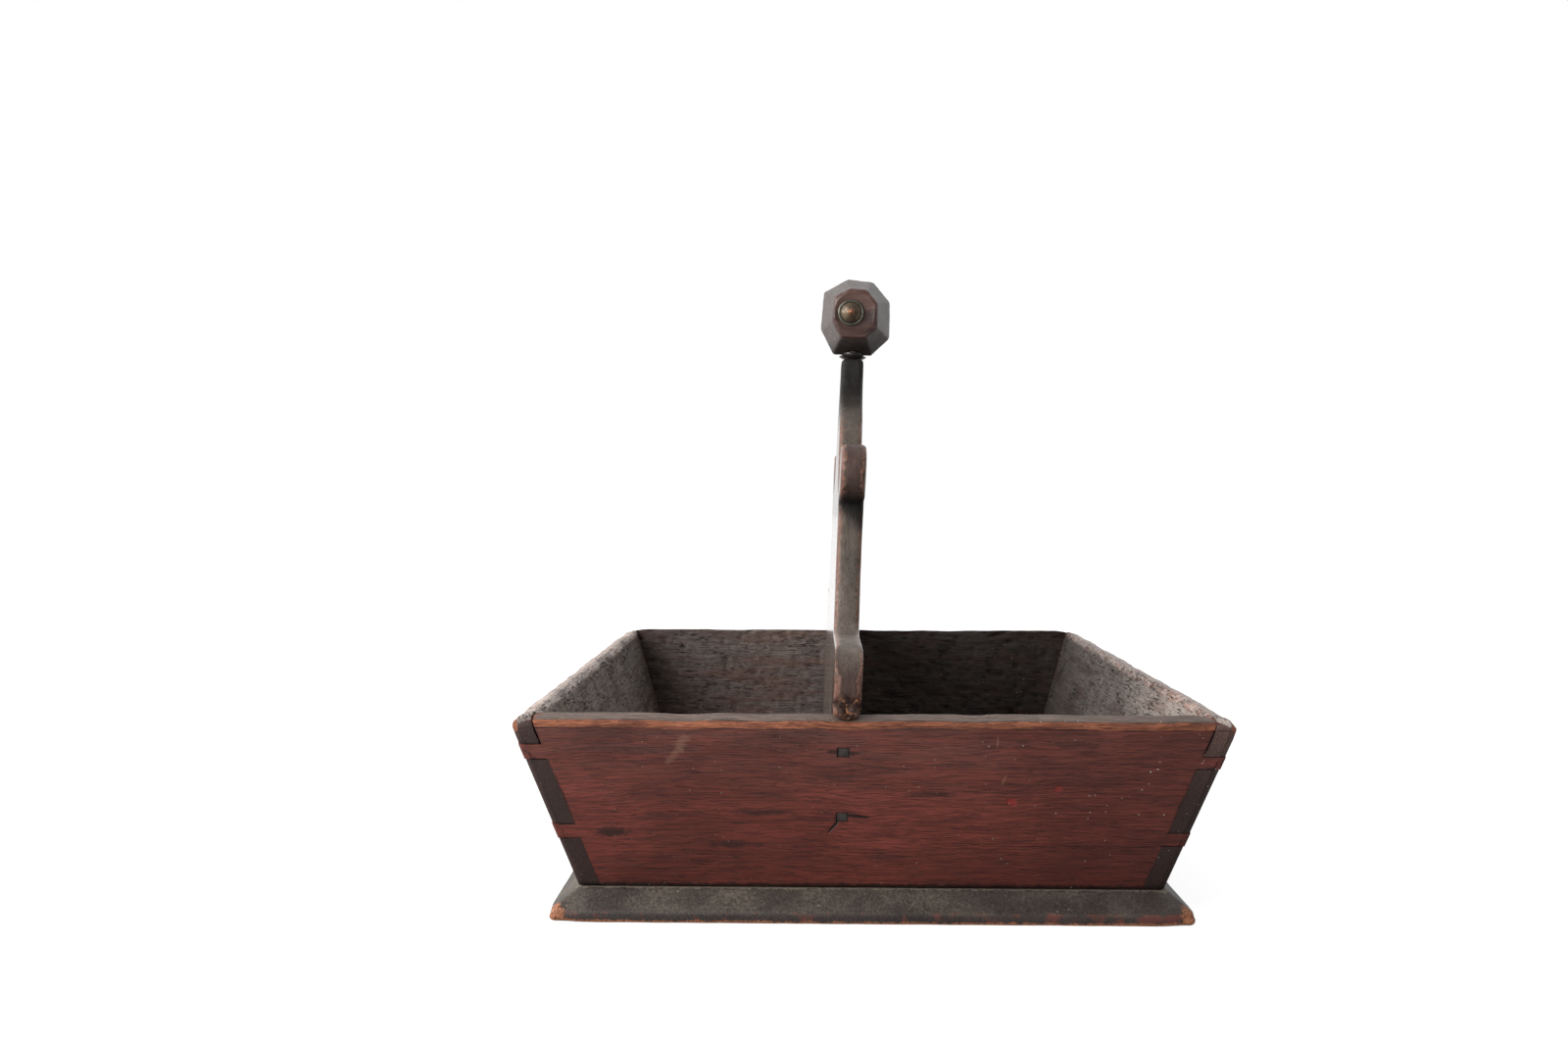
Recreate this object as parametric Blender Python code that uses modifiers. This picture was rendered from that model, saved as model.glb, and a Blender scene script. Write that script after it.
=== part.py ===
"""Hand-made seed tray with two compartments.

Four splayed boards are joined by through dovetails and stand on a chamfered
base board. Their rims are left square to the boards, so they rise inwards. A
scroll-cut divider leans a little to one side, parts the tray from front to
rear and rises to a post, which carries a thin ring and a faceted finial with
a brass stud in its front and rear faces.

Metres, +Z up, the front faces -Y. The origin is under the middle of the base.
"""
import math

import bmesh
import bpy
from mathutils import Vector
from mathutils.geometry import interpolate_bezier

# Room kept between pieces that touch
SEAT_GAP = 0.0003

# Tray. The outside sizes are those of the sharp rim, before wear rounds it.
TOP_WIDTH = 0.254
TOP_LENGTH = 0.330
WALL_HEIGHT = 0.0629
WALL_SPLAY = 0.0211          # how far each wall leans out between foot and rim
WALL_THICKNESS = 0.0084      # measured level
RIM_ROUNDING = 0.0022
CORNER_ROUNDING = 0.0026

# Dovetail pins on the front and rear boards: depth of the pin's middle below
# the rim, and its height on the outer face. It widens inwards by the slope.
LEFT_PINS = ((0.0112, 0.0052), (0.0413, 0.0051))
RIGHT_PINS = ((0.0142, 0.0041), (0.0433, 0.0046))
PIN_SLOPE = 1 / 6

# Base board
BASE_THICKNESS = 0.0106
BASE_EDGE = 0.0039           # upright part of its edge, below the chamfer
BASE_OVERHANG = 0.0095
BASE_LEDGE = 0.0008          # flat left between the chamfer and the walls
BASE_CORNER_ROUNDING = 0.0018

# Divider: a board on edge, which leans towards +X
DIVIDER_THICKNESS = 0.0095
DIVIDER_OFFSET = -0.0117     # its middle plane at the tray's floor
DIVIDER_LEAN = math.radians(2.3)
DIVIDER_EDGE_WEAR = 0.0007
SHELF_RISE = 0.0262          # top of the foot above the rim
FOOT_NOSE_RADIUS = 0.007
SHAFT_REACH = 0.104          # upright edge of the shaft, from the middle
SHAFT_FILLET = 0.0065
SCROLL_REACH = 0.0985
SCROLL_RISE = 0.0870         # middle of the scroll above the rim
SCROLL_RADIUS = 0.0115
SCROLL_NECK = math.radians(-113)   # where the shaft runs in under the scroll
SCROLL_BACK = math.radians(172)    # where the scroll runs into the hollow
HOLLOW_DEPTH = 0.0070        # bottom of the hollow below the scroll's middle
POST_SHOULDER_REACH = 0.0385
POST_SHOULDER_RISE = 0.0975
POST_TOP_REACH = 0.0070
POST_TOP_RISE = 0.1391
POST_PULLS = (0.8, 1.2)      # of its curve, against the reach of the end they start from
HOLLOW_FLARE = 0.25          # how far the scroll's back opens, against its radius

# Ring and neck under the finial
RING_DIAMETER = 0.0126
RING_FOOT_DIAMETER = 0.0098
RING_HEIGHT = 0.0017
RING_BEAD = 0.0009           # height of its widest line
NECK_DIAMETER = 0.0094
NECK_HEIGHT = 0.0011

# Finial: an octagonal block that tapers to a smaller octagon in front and
# behind. Its corners were cut by eye, so each has its own place (X, Z).
FINIAL_CORNERS = (
    (-0.0038, 0.0163), (0.0073, 0.0155), (0.0149, 0.0071), (0.0153, -0.0086),
    (0.0075, -0.0163), (-0.0088, -0.0163), (-0.0148, -0.0057), (-0.0140, 0.0103),
)
FINIAL_DEPTH = 0.0280
FINIAL_FACE_RATIO = 0.63     # size of the front octagon against the widest one
FINIAL_LIP = 0.0015
FINIAL_DISH = 0.0006

# Dowel from the post through the ring into the finial
DOWEL_DIAMETER = 0.0050
DOWEL_IN_POST = 0.0120
DOWEL_IN_FINIAL = 0.0110

# Brass studs
STUD_DIAMETER = 0.0117
STUD_RIM = 0.0005
STUD_DOME = 0.0024
STUD_TIP_DIAMETER = 0.0046
STUD_TIP = 0.0022
STUD_TIP_POINTS = ((0.35, 0.12), (0.75, 0.60))   # share of its radius, share of its height down
STUD_SHANK_DIAMETER = 0.0028
STUD_SHANK = 0.0068
STUD_OFFSET = -0.0018        # sideways from the middle of the finial

# Cut nails: width and thickness of the head and of the tip
NAIL_HEAD = (0.0036, 0.0031)
NAIL_TIP = (0.0016, 0.0013)
WALL_NAIL_LENGTH = 0.030
BASE_NAIL_LENGTH = 0.025
NAIL_SINK = 0.0003
BASE_NAIL_SINK = 0.0010
# Nails through an end wall into the divider: depth below the rim, sideways
WALL_NAILS = ((0.0110, -0.0007), (0.0353, 0.0001))
SIDE_BASE_NAILS = (-0.100, 0.0, 0.100)
END_BASE_NAILS = (-0.058, 0.058)
DIVIDER_BASE_NAILS = (-0.070, 0.070)

# What follows from these
RIM = BASE_THICKNESS + WALL_HEIGHT
OUTER_X = TOP_WIDTH / 2 - WALL_SPLAY     # at the foot of the walls
OUTER_Y = TOP_LENGTH / 2 - WALL_SPLAY
SPLAY = WALL_SPLAY / WALL_HEIGHT
SPLAY_ANGLE = math.atan(SPLAY)
INNER_X = OUTER_X - WALL_THICKNESS
INNER_Y = OUTER_Y - WALL_THICKNESS
RIM_RISE = WALL_THICKNESS * SPLAY / (1 + SPLAY ** 2)   # of its inner arris
POST_TOP = WALL_HEIGHT + POST_TOP_RISE   # above the floor, along the divider
RING_SEAT = POST_TOP + SEAT_GAP
FINIAL_SEAT = RING_SEAT + RING_HEIGHT + NECK_HEIGHT + SEAT_GAP
FINIAL_MIDDLE = FINIAL_SEAT - min(z for _, z in FINIAL_CORNERS)
ROUND_STEPS = 32
OVERRUN = 0.002              # how far rough stock and cutters pass a finished face

# Finishes: colour, roughness, metallic
OLD_RED_WOOD = ((0.105, 0.032, 0.024, 1), 0.45, 0.0)
DARK_WOOD = ((0.055, 0.036, 0.030, 1), 0.55, 0.0)
GREY_BROWN_WOOD = ((0.095, 0.072, 0.062, 1), 0.60, 0.0)
BRASS = ((0.200, 0.150, 0.080, 1), 0.40, 1.0)
IRON = ((0.060, 0.055, 0.052, 1), 0.70, 0.8)


# ---------------------------------------------------------------- helpers

def clear_scene():
    for obj in list(bpy.data.objects):
        bpy.data.objects.remove(obj, do_unlink=True)


def new_collection(name):
    collection = bpy.data.collections.new(name)
    bpy.context.scene.collection.children.link(collection)
    return collection


def add_object(name, data, collection, parent=None):
    obj = bpy.data.objects.new(name, data)
    collection.objects.link(obj)
    obj.parent = parent
    return obj


def finish_piece(obj, finish, smooth_angle=None):
    colour, roughness, metallic = finish
    material = bpy.data.materials.new(obj.name)
    material.use_nodes = True
    shader = material.node_tree.nodes["Principled BSDF"]
    shader.inputs["Base Color"].default_value = colour
    shader.inputs["Roughness"].default_value = roughness
    shader.inputs["Metallic"].default_value = metallic
    obj.data.materials.clear()
    obj.data.materials.append(material)
    if smooth_angle is not None:
        obj.data.shade_smooth()
        obj.data.set_sharp_from_angle(angle=smooth_angle)


def as_cutter(obj):
    obj.hide_render = True
    obj.display_type = "WIRE"
    return obj


def combine(obj, tool, operation):
    boolean = obj.modifiers.new(tool.name, "BOOLEAN")
    boolean.operation = operation
    boolean.solver = "EXACT"
    boolean.object = tool
    return boolean


def to_mesh(obj):
    """Return obj as a mesh, its modifiers applied, caps welded and flat faces whole."""
    bpy.context.view_layer.update()
    depsgraph = bpy.context.evaluated_depsgraph_get()
    mesh = bpy.data.meshes.new_from_object(obj.evaluated_get(depsgraph))
    work = bmesh.new()
    work.from_mesh(mesh)
    bmesh.ops.remove_doubles(work, verts=work.verts, dist=1e-6)
    bmesh.ops.dissolve_limit(
        work, angle_limit=math.radians(0.1), verts=work.verts, edges=work.edges)
    bmesh.ops.recalc_face_normals(work, faces=work.faces)
    work.to_mesh(mesh)
    work.free()
    name = obj.name
    solid = add_object(name, mesh, obj.users_collection[0], obj.parent)
    solid.matrix_local = obj.matrix_local
    bpy.data.objects.remove(obj, do_unlink=True)
    solid.name = name
    return solid


def block(name, low, high, collection, parent=None):
    """A box between two corners."""
    low = Vector(low)
    high = Vector(high)
    work = bmesh.new()
    bmesh.ops.create_cube(work, size=1)
    bmesh.ops.scale(work, vec=high - low, verts=work.verts)
    bmesh.ops.translate(work, vec=(low + high) / 2, verts=work.verts)
    mesh = bpy.data.meshes.new(name)
    work.to_mesh(mesh)
    work.free()
    return add_object(name, mesh, collection, parent)


def turned(name, profile, collection, parent, closed=False):
    """A profile of (radius, height), listed down its outer side, turned about Z."""
    mesh = bpy.data.meshes.new(name)
    edges = [(i, i + 1) for i in range(len(profile) - 1)]
    if closed:
        edges.append((len(profile) - 1, 0))
    mesh.from_pydata([(radius, 0, height) for radius, height in profile], edges, [])
    obj = add_object(name, mesh, collection, parent)
    screw = obj.modifiers.new("Turn", "SCREW")
    screw.steps = ROUND_STEPS
    screw.render_steps = ROUND_STEPS
    screw.use_merge_vertices = True
    screw.merge_threshold = 0.00001
    return obj


def rod(name, radius, low, high, collection, parent):
    work = bmesh.new()
    bmesh.ops.create_cone(
        work, cap_ends=True, segments=ROUND_STEPS,
        radius1=radius, radius2=radius, depth=high - low)
    bmesh.ops.translate(work, vec=(0, 0, (low + high) / 2), verts=work.verts)
    mesh = bpy.data.meshes.new(name)
    work.to_mesh(mesh)
    work.free()
    return add_object(name, mesh, collection, parent)


def is_level(edge):
    return abs(edge.verts[0].co.z - edge.verts[1].co.z) < 1e-6


def arc(centre, radius, start, end, steps):
    """Points on an arc, both ends included."""
    points = []
    for i in range(steps + 1):
        angle = start + (end - start) * i / steps
        points.append((centre[0] + radius * math.cos(angle),
                       centre[1] + radius * math.sin(angle)))
    return points


def sweep(start, start_pull, end_pull, end, steps):
    """Points on a Bezier stretch, both ends included."""
    corners = [Vector((*p, 0)) for p in (start, start_pull, end_pull, end)]
    return [(p.x, p.y) for p in interpolate_bezier(*corners, steps + 1)]


# ---------------------------------------------------------------- base board

def base_board(parts):
    """A slab with a wide chamfer all round, from its edge up to the walls."""
    half_x = OUTER_X + BASE_OVERHANG
    half_y = OUTER_Y + BASE_OVERHANG
    obj = block("base_board", (-half_x, -half_y, 0), (half_x, half_y, BASE_EDGE), parts)
    work = bmesh.new()
    work.from_mesh(obj.data)
    top = max(work.faces, key=lambda face: face.calc_center_median().z)
    bmesh.ops.inset_region(
        work, faces=[top], thickness=BASE_OVERHANG - BASE_LEDGE,
        depth=BASE_THICKNESS - BASE_EDGE, use_even_offset=True)
    rising = [edge for edge in work.edges if not is_level(edge)]
    bmesh.ops.bevel(
        work, geom=rising, offset=BASE_CORNER_ROUNDING, segments=2,
        profile=0.5, affect="EDGES")
    work.to_mesh(obj.data)
    work.free()
    finish_piece(obj, DARK_WOOD)
    return obj


# ---------------------------------------------------------------- walls
# The walls are first made upright and square to each other, with their
# dovetails, and are then leaned outwards together.

def lean_out(obj):
    """Lean an upright wall outwards, its inner faces staying flat."""
    solid = to_mesh(obj)
    for vert in solid.data.vertices:
        lean = SPLAY * (vert.co.z - BASE_THICKNESS)
        vert.co.x += lean * max(-1, min(1, vert.co.x / INNER_X))
        vert.co.y += lean * max(-1, min(1, vert.co.y / INNER_Y))
    return solid


def worn_outside(cutters):
    """The upright outside of the four walls, its corners and rim rounded by wear."""
    obj = block(
        "worn_outside", (-OUTER_X, -OUTER_Y, 0), (OUTER_X, OUTER_Y, RIM), cutters)
    work = bmesh.new()
    work.from_mesh(obj.data)
    upright = [edge for edge in work.edges if not is_level(edge)]
    top = max(work.faces, key=lambda face: face.calc_center_median().z)
    bmesh.ops.inset_region(
        work, faces=[top], thickness=WALL_THICKNESS, depth=RIM_RISE,
        use_even_offset=True)
    bmesh.ops.bevel(
        work, geom=upright, offset=CORNER_ROUNDING, segments=3, profile=0.5,
        affect="EDGES")
    rim = [edge for edge in work.edges
           if is_level(edge) and abs(edge.verts[0].co.z - RIM) < SEAT_GAP]
    bmesh.ops.bevel(
        work, geom=rim, offset=RIM_ROUNDING, segments=3, profile=0.5, affect="EDGES")
    work.to_mesh(obj.data)
    work.free()
    return as_cutter(obj)


def pin_prism(name, side, end, pin, inner_x, overrun, room, collection):
    """One pin, from inner_x out past the side board. side and end are -1 or 1.

    With room it is the socket that the pin sits in.
    """
    depth, height = pin
    obj = block(
        name, (inner_x, INNER_Y - room, -1), (OUTER_X + overrun, OUTER_Y + overrun, 1),
        collection)
    work = bmesh.new()
    work.from_mesh(obj.data)
    for vert in work.verts:
        half = height / 2 + PIN_SLOPE * (OUTER_Y - vert.co.y) + room
        vert.co.z = RIM - depth + math.copysign(half, vert.co.z)
    bmesh.ops.scale(work, vec=(side, end, 1), verts=work.verts)
    bmesh.ops.recalc_face_normals(work, faces=work.faces)
    work.to_mesh(obj.data)
    work.free()
    return as_cutter(obj)


def pins_of(side):
    return RIGHT_PINS if side > 0 else LEFT_PINS


def end_board(name, end, outside, parts, cutters):
    """The front or rear board: its pins reach out through the side boards."""
    across = sorted((end * INNER_Y, end * (OUTER_Y + OVERRUN)))
    half = INNER_X - SEAT_GAP
    obj = block(
        name, (-half, across[0], BASE_THICKNESS + SEAT_GAP),
        (half, across[1], RIM + RIM_RISE + OVERRUN), parts)
    for side in (-1, 1):
        for number, pin in enumerate(pins_of(side), 1):
            prism = pin_prism(
                f"{name}_pin_{side}_{number}", side, end, pin, half - OVERRUN,
                OVERRUN, 0, cutters)
            combine(obj, prism, "UNION")
    combine(obj, outside, "INTERSECT")
    solid = lean_out(obj)
    finish_piece(solid, OLD_RED_WOOD)
    return solid


def side_board(name, side, outside, parts, cutters):
    """The left or right board: the ends of its tails show in front and behind."""
    across = sorted((side * INNER_X, side * (OUTER_X + OVERRUN)))
    half = OUTER_Y + OVERRUN
    obj = block(
        name, (across[0], -half, BASE_THICKNESS + SEAT_GAP),
        (across[1], half, RIM + RIM_RISE + OVERRUN), parts)
    for end in (-1, 1):
        for number, pin in enumerate(pins_of(side), 1):
            socket = pin_prism(
                f"{name}_socket_{end}_{number}", side, end, pin, INNER_X - OVERRUN,
                2 * OVERRUN, SEAT_GAP, cutters)
            combine(obj, socket, "DIFFERENCE")
    combine(obj, outside, "INTERSECT")
    solid = lean_out(obj)
    finish_piece(solid, OLD_RED_WOOD)
    return solid


# ---------------------------------------------------------------- divider
# The divider and all it carries share one leaning frame. Its origin is on the
# tray's floor, in the middle plane of the divider, and heights count from there.

def leaning_frame(parts):
    frame = add_object("divider_lean", None, parts)
    frame.location = (DIVIDER_OFFSET, 0, BASE_THICKNESS)
    frame.rotation_euler = (0, DIVIDER_LEAN, 0)
    return frame


def divider_edge():
    """The rear half of the divider's outline, from the floor up to the post."""
    tilt_room = SEAT_GAP + DIVIDER_THICKNESS / 2 * math.sin(DIVIDER_LEAN)
    upright = math.cos(DIVIDER_LEAN)
    floor = tilt_room / upright
    end_room = tilt_room / math.cos(SPLAY_ANGLE)
    foot = TOP_LENGTH / 2 - SEAT_GAP
    over_outer = (WALL_HEIGHT + SEAT_GAP * SPLAY + tilt_room) / upright
    over_inner = (over_outer + (foot - INNER_Y + end_room) * SPLAY) / (1 + SPLAY ** 2)
    shelf = WALL_HEIGHT + SHELF_RISE
    scroll = (SCROLL_REACH, WALL_HEIGHT + SCROLL_RISE)
    points = [
        (INNER_Y + SPLAY * floor - end_room, floor),
        (INNER_Y + SPLAY * over_inner - end_room, over_inner),
        (foot, over_outer),
    ]
    nose = (foot - FOOT_NOSE_RADIUS, shelf - FOOT_NOSE_RADIUS)
    points += arc(nose, FOOT_NOSE_RADIUS, 0, math.pi / 2, 4)
    fillet = (SHAFT_REACH + SHAFT_FILLET, shelf + SHAFT_FILLET)
    points += arc(fillet, SHAFT_FILLET, -math.pi / 2, -math.pi, 4)
    curl = arc(scroll, SCROLL_RADIUS, SCROLL_NECK, SCROLL_BACK, 16)
    shaft_foot = points[-1]
    waist = (curl[0][0], (shaft_foot[1] + curl[0][1]) / 2)
    points += sweep(shaft_foot, waist, waist, curl[0], 5)[1:-1]
    points += curl
    hollow = (
        (scroll[0] - SCROLL_RADIUS + POST_SHOULDER_REACH) / 2,
        scroll[1] - HOLLOW_DEPTH)
    points += sweep(
        curl[-1], (curl[-1][0] - SCROLL_RADIUS * HOLLOW_FLARE, hollow[1]),
        (hollow[0] + SCROLL_RADIUS, hollow[1]), hollow, 5)[1:]
    shoulder = (POST_SHOULDER_REACH, WALL_HEIGHT + POST_SHOULDER_RISE)
    points += sweep(
        hollow, (hollow[0] - SCROLL_RADIUS, hollow[1]),
        ((hollow[0] + shoulder[0] * 3) / 4, (hollow[1] + shoulder[1]) / 2),
        shoulder, 6)[1:]
    top = (POST_TOP_REACH, POST_TOP)
    points += sweep(
        shoulder, (shoulder[0] * POST_PULLS[0], (shoulder[1] + top[1]) / 2),
        (top[0] * POST_PULLS[1], (shoulder[1] + top[1]) / 2), top, 8)[1:]
    return points


def divider(lean, parts):
    half = divider_edge()
    outline = [(-OVERRUN, half[0][1]), *half, (-OVERRUN, half[-1][1])]
    curve = bpy.data.curves.new("divider", "CURVE")
    curve.dimensions = "2D"
    curve.fill_mode = "BOTH"
    curve.extrude = DIVIDER_THICKNESS / 2 - DIVIDER_EDGE_WEAR
    curve.bevel_depth = DIVIDER_EDGE_WEAR
    curve.bevel_resolution = 1
    curve.offset = -DIVIDER_EDGE_WEAR
    spline = curve.splines.new("POLY")
    spline.points.add(len(outline) - 1)
    for point, (reach, height) in zip(spline.points, outline):
        point.co = (reach, height, 0, 1)
    spline.use_cyclic_u = True
    obj = add_object("divider", curve, parts, lean)
    obj.rotation_euler = (math.pi / 2, 0, math.pi / 2)
    solid = to_mesh(obj)
    mirror = solid.modifiers.new("Front half", "MIRROR")
    mirror.use_axis = (True, False, False)
    mirror.use_bisect_axis = (True, False, False)
    mirror.merge_threshold = 0.00001
    finish_piece(solid, GREY_BROWN_WOOD, smooth_angle=math.radians(35))
    return solid


# ---------------------------------------------------------------- finial

def neck_ring(lean, parts):
    """A thin lens-edged ring with a short neck above it, bored for the dowel."""
    bore = DOWEL_DIAMETER / 2 + SEAT_GAP
    top = RING_HEIGHT + NECK_HEIGHT
    profile = [
        (bore, top),
        (NECK_DIAMETER / 2, top),
        (NECK_DIAMETER / 2, RING_HEIGHT),
        (RING_DIAMETER / 2, RING_BEAD),
        (RING_FOOT_DIAMETER / 2, 0),
        (bore, 0),
    ]
    obj = turned("neck_ring", profile, parts, lean, closed=True)
    obj.location.z = RING_SEAT
    finish_piece(obj, DARK_WOOD, smooth_angle=math.radians(30))
    return obj


def finial_knob(lean, parts):
    work = bmesh.new()
    bmesh.ops.create_circle(work, cap_ends=True, segments=len(FINIAL_CORNERS), radius=1)
    for vert, (x, z) in zip(work.verts, FINIAL_CORNERS):
        vert.co = (x, 0, z)
    widest = work.faces[:]
    raised = bmesh.ops.extrude_face_region(work, geom=widest, use_keep_orig=True)
    front_verts = [item for item in raised["geom"] if isinstance(item, bmesh.types.BMVert)]
    bmesh.ops.scale(work, vec=(FINIAL_FACE_RATIO, 1, FINIAL_FACE_RATIO), verts=front_verts)
    bmesh.ops.translate(work, vec=(0, -FINIAL_DEPTH / 2, 0), verts=front_verts)
    bmesh.ops.recalc_face_normals(work, faces=work.faces)
    front = min(work.faces, key=lambda face: face.calc_center_median().y)
    bmesh.ops.inset_region(
        work, faces=[front], thickness=FINIAL_LIP, depth=-FINIAL_DISH,
        use_even_offset=True)
    open_side = [face for face in work.faces
                 if all(abs(vert.co.y) < 1e-7 for vert in face.verts)]
    bmesh.ops.delete(work, geom=open_side, context="FACES_ONLY")
    mesh = bpy.data.meshes.new("finial_knob")
    work.to_mesh(mesh)
    work.free()
    obj = add_object("finial_knob", mesh, parts, lean)
    obj.location.z = FINIAL_MIDDLE
    mirror = obj.modifiers.new("Rear half", "MIRROR")
    mirror.use_axis = (False, True, False)
    mirror.merge_threshold = 0.0001
    finish_piece(obj, DARK_WOOD)
    return obj


def finial_dowel(lean, parts, cutters):
    """The dowel, and the hole for it in the post and in the finial."""
    low = POST_TOP - DOWEL_IN_POST
    high = FINIAL_SEAT + DOWEL_IN_FINIAL
    radius = DOWEL_DIAMETER / 2
    obj = rod("finial_dowel", radius, low, high, parts, lean)
    finish_piece(obj, GREY_BROWN_WOOD, smooth_angle=math.radians(30))
    hole = rod(
        "dowel_hole", radius + SEAT_GAP, low - SEAT_GAP, high + SEAT_GAP, cutters, lean)
    return obj, as_cutter(hole)


def stud_profile():
    """A low dome with a pointed tip, on a tapering shank."""
    top = STUD_DOME + STUD_TIP
    tip = STUD_TIP_DIAMETER / 2
    rim = STUD_DIAMETER / 2
    start = math.acos(tip / rim)
    dome_height = (STUD_DOME - STUD_RIM) / math.sin(start)
    dome = [(rim * math.cos(angle), STUD_RIM + dome_height * math.sin(angle))
            for angle in (start * (1 - i / 6) for i in range(7))]
    shank = STUD_SHANK_DIAMETER / 2
    return [
        (0, top), *((tip * out, top - STUD_TIP * down) for out, down in STUD_TIP_POINTS),
        *dome, (rim, 0), (shank, 0), (shank, -STUD_SHANK / 2), (0, -STUD_SHANK),
    ]


def stud(name, end, lean, parts, cutters):
    """A brass stud in one face of the finial, and the hole for its shank."""
    seat = FINIAL_DEPTH / 2 - FINIAL_DISH + SEAT_GAP
    obj = turned(name, stud_profile(), parts, lean)
    finish_piece(obj, BRASS, smooth_angle=math.radians(35))
    hole = rod(
        f"{name}_hole", STUD_SHANK_DIAMETER / 2 + SEAT_GAP,
        -STUD_SHANK - SEAT_GAP, OVERRUN, cutters, lean)
    for item in (obj, hole):
        item.location = (STUD_OFFSET, end * seat, FINIAL_MIDDLE)
        item.rotation_euler.x = -end * math.pi / 2
    return obj, as_cutter(hole)


# ---------------------------------------------------------------- nails

def nail(name, place, length, collection, parent, room=0.0):
    """A cut nail that tapers from head to tip. With room it is the nail's hole."""
    start, direction = place
    overrun = OVERRUN if room else 0
    obj = block(name, (-1, -1, -overrun), (1, 1, length + room), collection, parent)
    for vert in obj.data.vertices:
        along = vert.co.z / length
        for axis, head, tip in zip((0, 1), NAIL_HEAD, NAIL_TIP):
            half = (head + (tip - head) * along) / 2 + room
            vert.co[axis] = math.copysign(half, vert.co[axis])
    obj.rotation_mode = "QUATERNION"
    obj.rotation_quaternion = direction.to_track_quat("Z", "Y")
    obj.location = start
    return obj


def end_wall_nails(end):
    """Nails through an end board into the end of the divider, square to the board."""
    direction = Vector((0, -end * math.cos(SPLAY_ANGLE), math.sin(SPLAY_ANGLE)))
    for depth, sideways in WALL_NAILS:
        height = WALL_HEIGHT - depth
        reach = OUTER_Y + SPLAY * height
        start = Vector((sideways, end * reach, height))
        yield start + direction * NAIL_SINK, direction


def wall_foot_nails(outward, spots):
    """Nails up through the base into the thickness of a leaning wall."""
    direction = outward * math.sin(SPLAY_ANGLE) + Vector((0, 0, math.cos(SPLAY_ANGLE)))
    middle = Vector((OUTER_X, OUTER_Y, 0)) - Vector((1, 1, 0)) * WALL_THICKNESS / 2
    under = middle - Vector((1, 1, 0)) * BASE_THICKNESS * SPLAY
    for spot in spots:
        along = Vector((abs(outward.y), abs(outward.x), 0)) * spot
        start = Vector((outward.x * under.x, outward.y * under.y, 0)) + along
        yield start + direction * BASE_NAIL_SINK, direction


def divider_foot_nails():
    upward = Vector((0, 0, 1))
    for spot in DIVIDER_BASE_NAILS:
        yield Vector((0, spot, BASE_NAIL_SINK - BASE_THICKNESS)), upward


def nail_rows(lean):
    """Each row: name, parent, length, the boards it passes, and its places."""
    x_axis = Vector((1, 0, 0))
    y_axis = Vector((0, 1, 0))
    return (
        ("front_divider_nail", lean, WALL_NAIL_LENGTH, ("front_board", "divider"),
         end_wall_nails(-1)),
        ("rear_divider_nail", lean, WALL_NAIL_LENGTH, ("rear_board", "divider"),
         end_wall_nails(1)),
        ("left_base_nail", None, BASE_NAIL_LENGTH, ("base_board", "left_board"),
         wall_foot_nails(-x_axis, SIDE_BASE_NAILS)),
        ("right_base_nail", None, BASE_NAIL_LENGTH, ("base_board", "right_board"),
         wall_foot_nails(x_axis, SIDE_BASE_NAILS)),
        ("front_base_nail", None, BASE_NAIL_LENGTH, ("base_board", "front_board"),
         wall_foot_nails(-y_axis, END_BASE_NAILS)),
        ("rear_base_nail", None, BASE_NAIL_LENGTH, ("base_board", "rear_board"),
         wall_foot_nails(y_axis, END_BASE_NAILS)),
        ("divider_base_nail", lean, BASE_NAIL_LENGTH, ("base_board", "divider"),
         divider_foot_nails()),
    )


def drive_nails(boards, lean, parts, cutters):
    for row, parent, length, passes, places in nail_rows(lean):
        for number, place in enumerate(places, 1):
            name = f"{row}_{number}"
            piece = nail(name, place, length, parts, parent)
            finish_piece(piece, IRON)
            hole = as_cutter(nail(f"{name}_hole", place, length, cutters, parent, SEAT_GAP))
            for board in passes:
                combine(boards[board], hole, "DIFFERENCE")


# ---------------------------------------------------------------- the tray

def main():
    clear_scene()
    parts = new_collection("seed_tray")
    cutters = new_collection("cutters")
    cutters.hide_render = True
    lean = leaning_frame(parts)
    outside = worn_outside(cutters)

    boards = {
        "base_board": base_board(parts),
        "front_board": end_board("front_board", -1, outside, parts, cutters),
        "rear_board": end_board("rear_board", 1, outside, parts, cutters),
        "left_board": side_board("left_board", -1, outside, parts, cutters),
        "right_board": side_board("right_board", 1, outside, parts, cutters),
        "divider": divider(lean, parts),
    }
    drive_nails(boards, lean, parts, cutters)

    neck_ring(lean, parts)
    knob = finial_knob(lean, parts)
    _, dowel_hole = finial_dowel(lean, parts, cutters)
    combine(boards["divider"], dowel_hole, "DIFFERENCE")
    combine(knob, dowel_hole, "DIFFERENCE")
    for name, end in (("front_stud", -1), ("rear_stud", 1)):
        _, stud_hole = stud(name, end, lean, parts, cutters)
        combine(knob, stud_hole, "DIFFERENCE")


main()
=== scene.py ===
"""Finish of the dovetailed seed tray: old red varnish, worn arrises, soiling and dust, and painted
light and shade.

Each board is worked over from its plain solid: it is cut into a fine mesh,
its arrises are worn round, its inside is gouged, and what wear and soiling did,
with painted light and shade, is kept on the mesh as masks, which the materials read.
"""
import math
from collections import namedtuple

import bmesh
import bpy
import numpy as np
from mathutils import Euler, Matrix, Vector, noise


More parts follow.
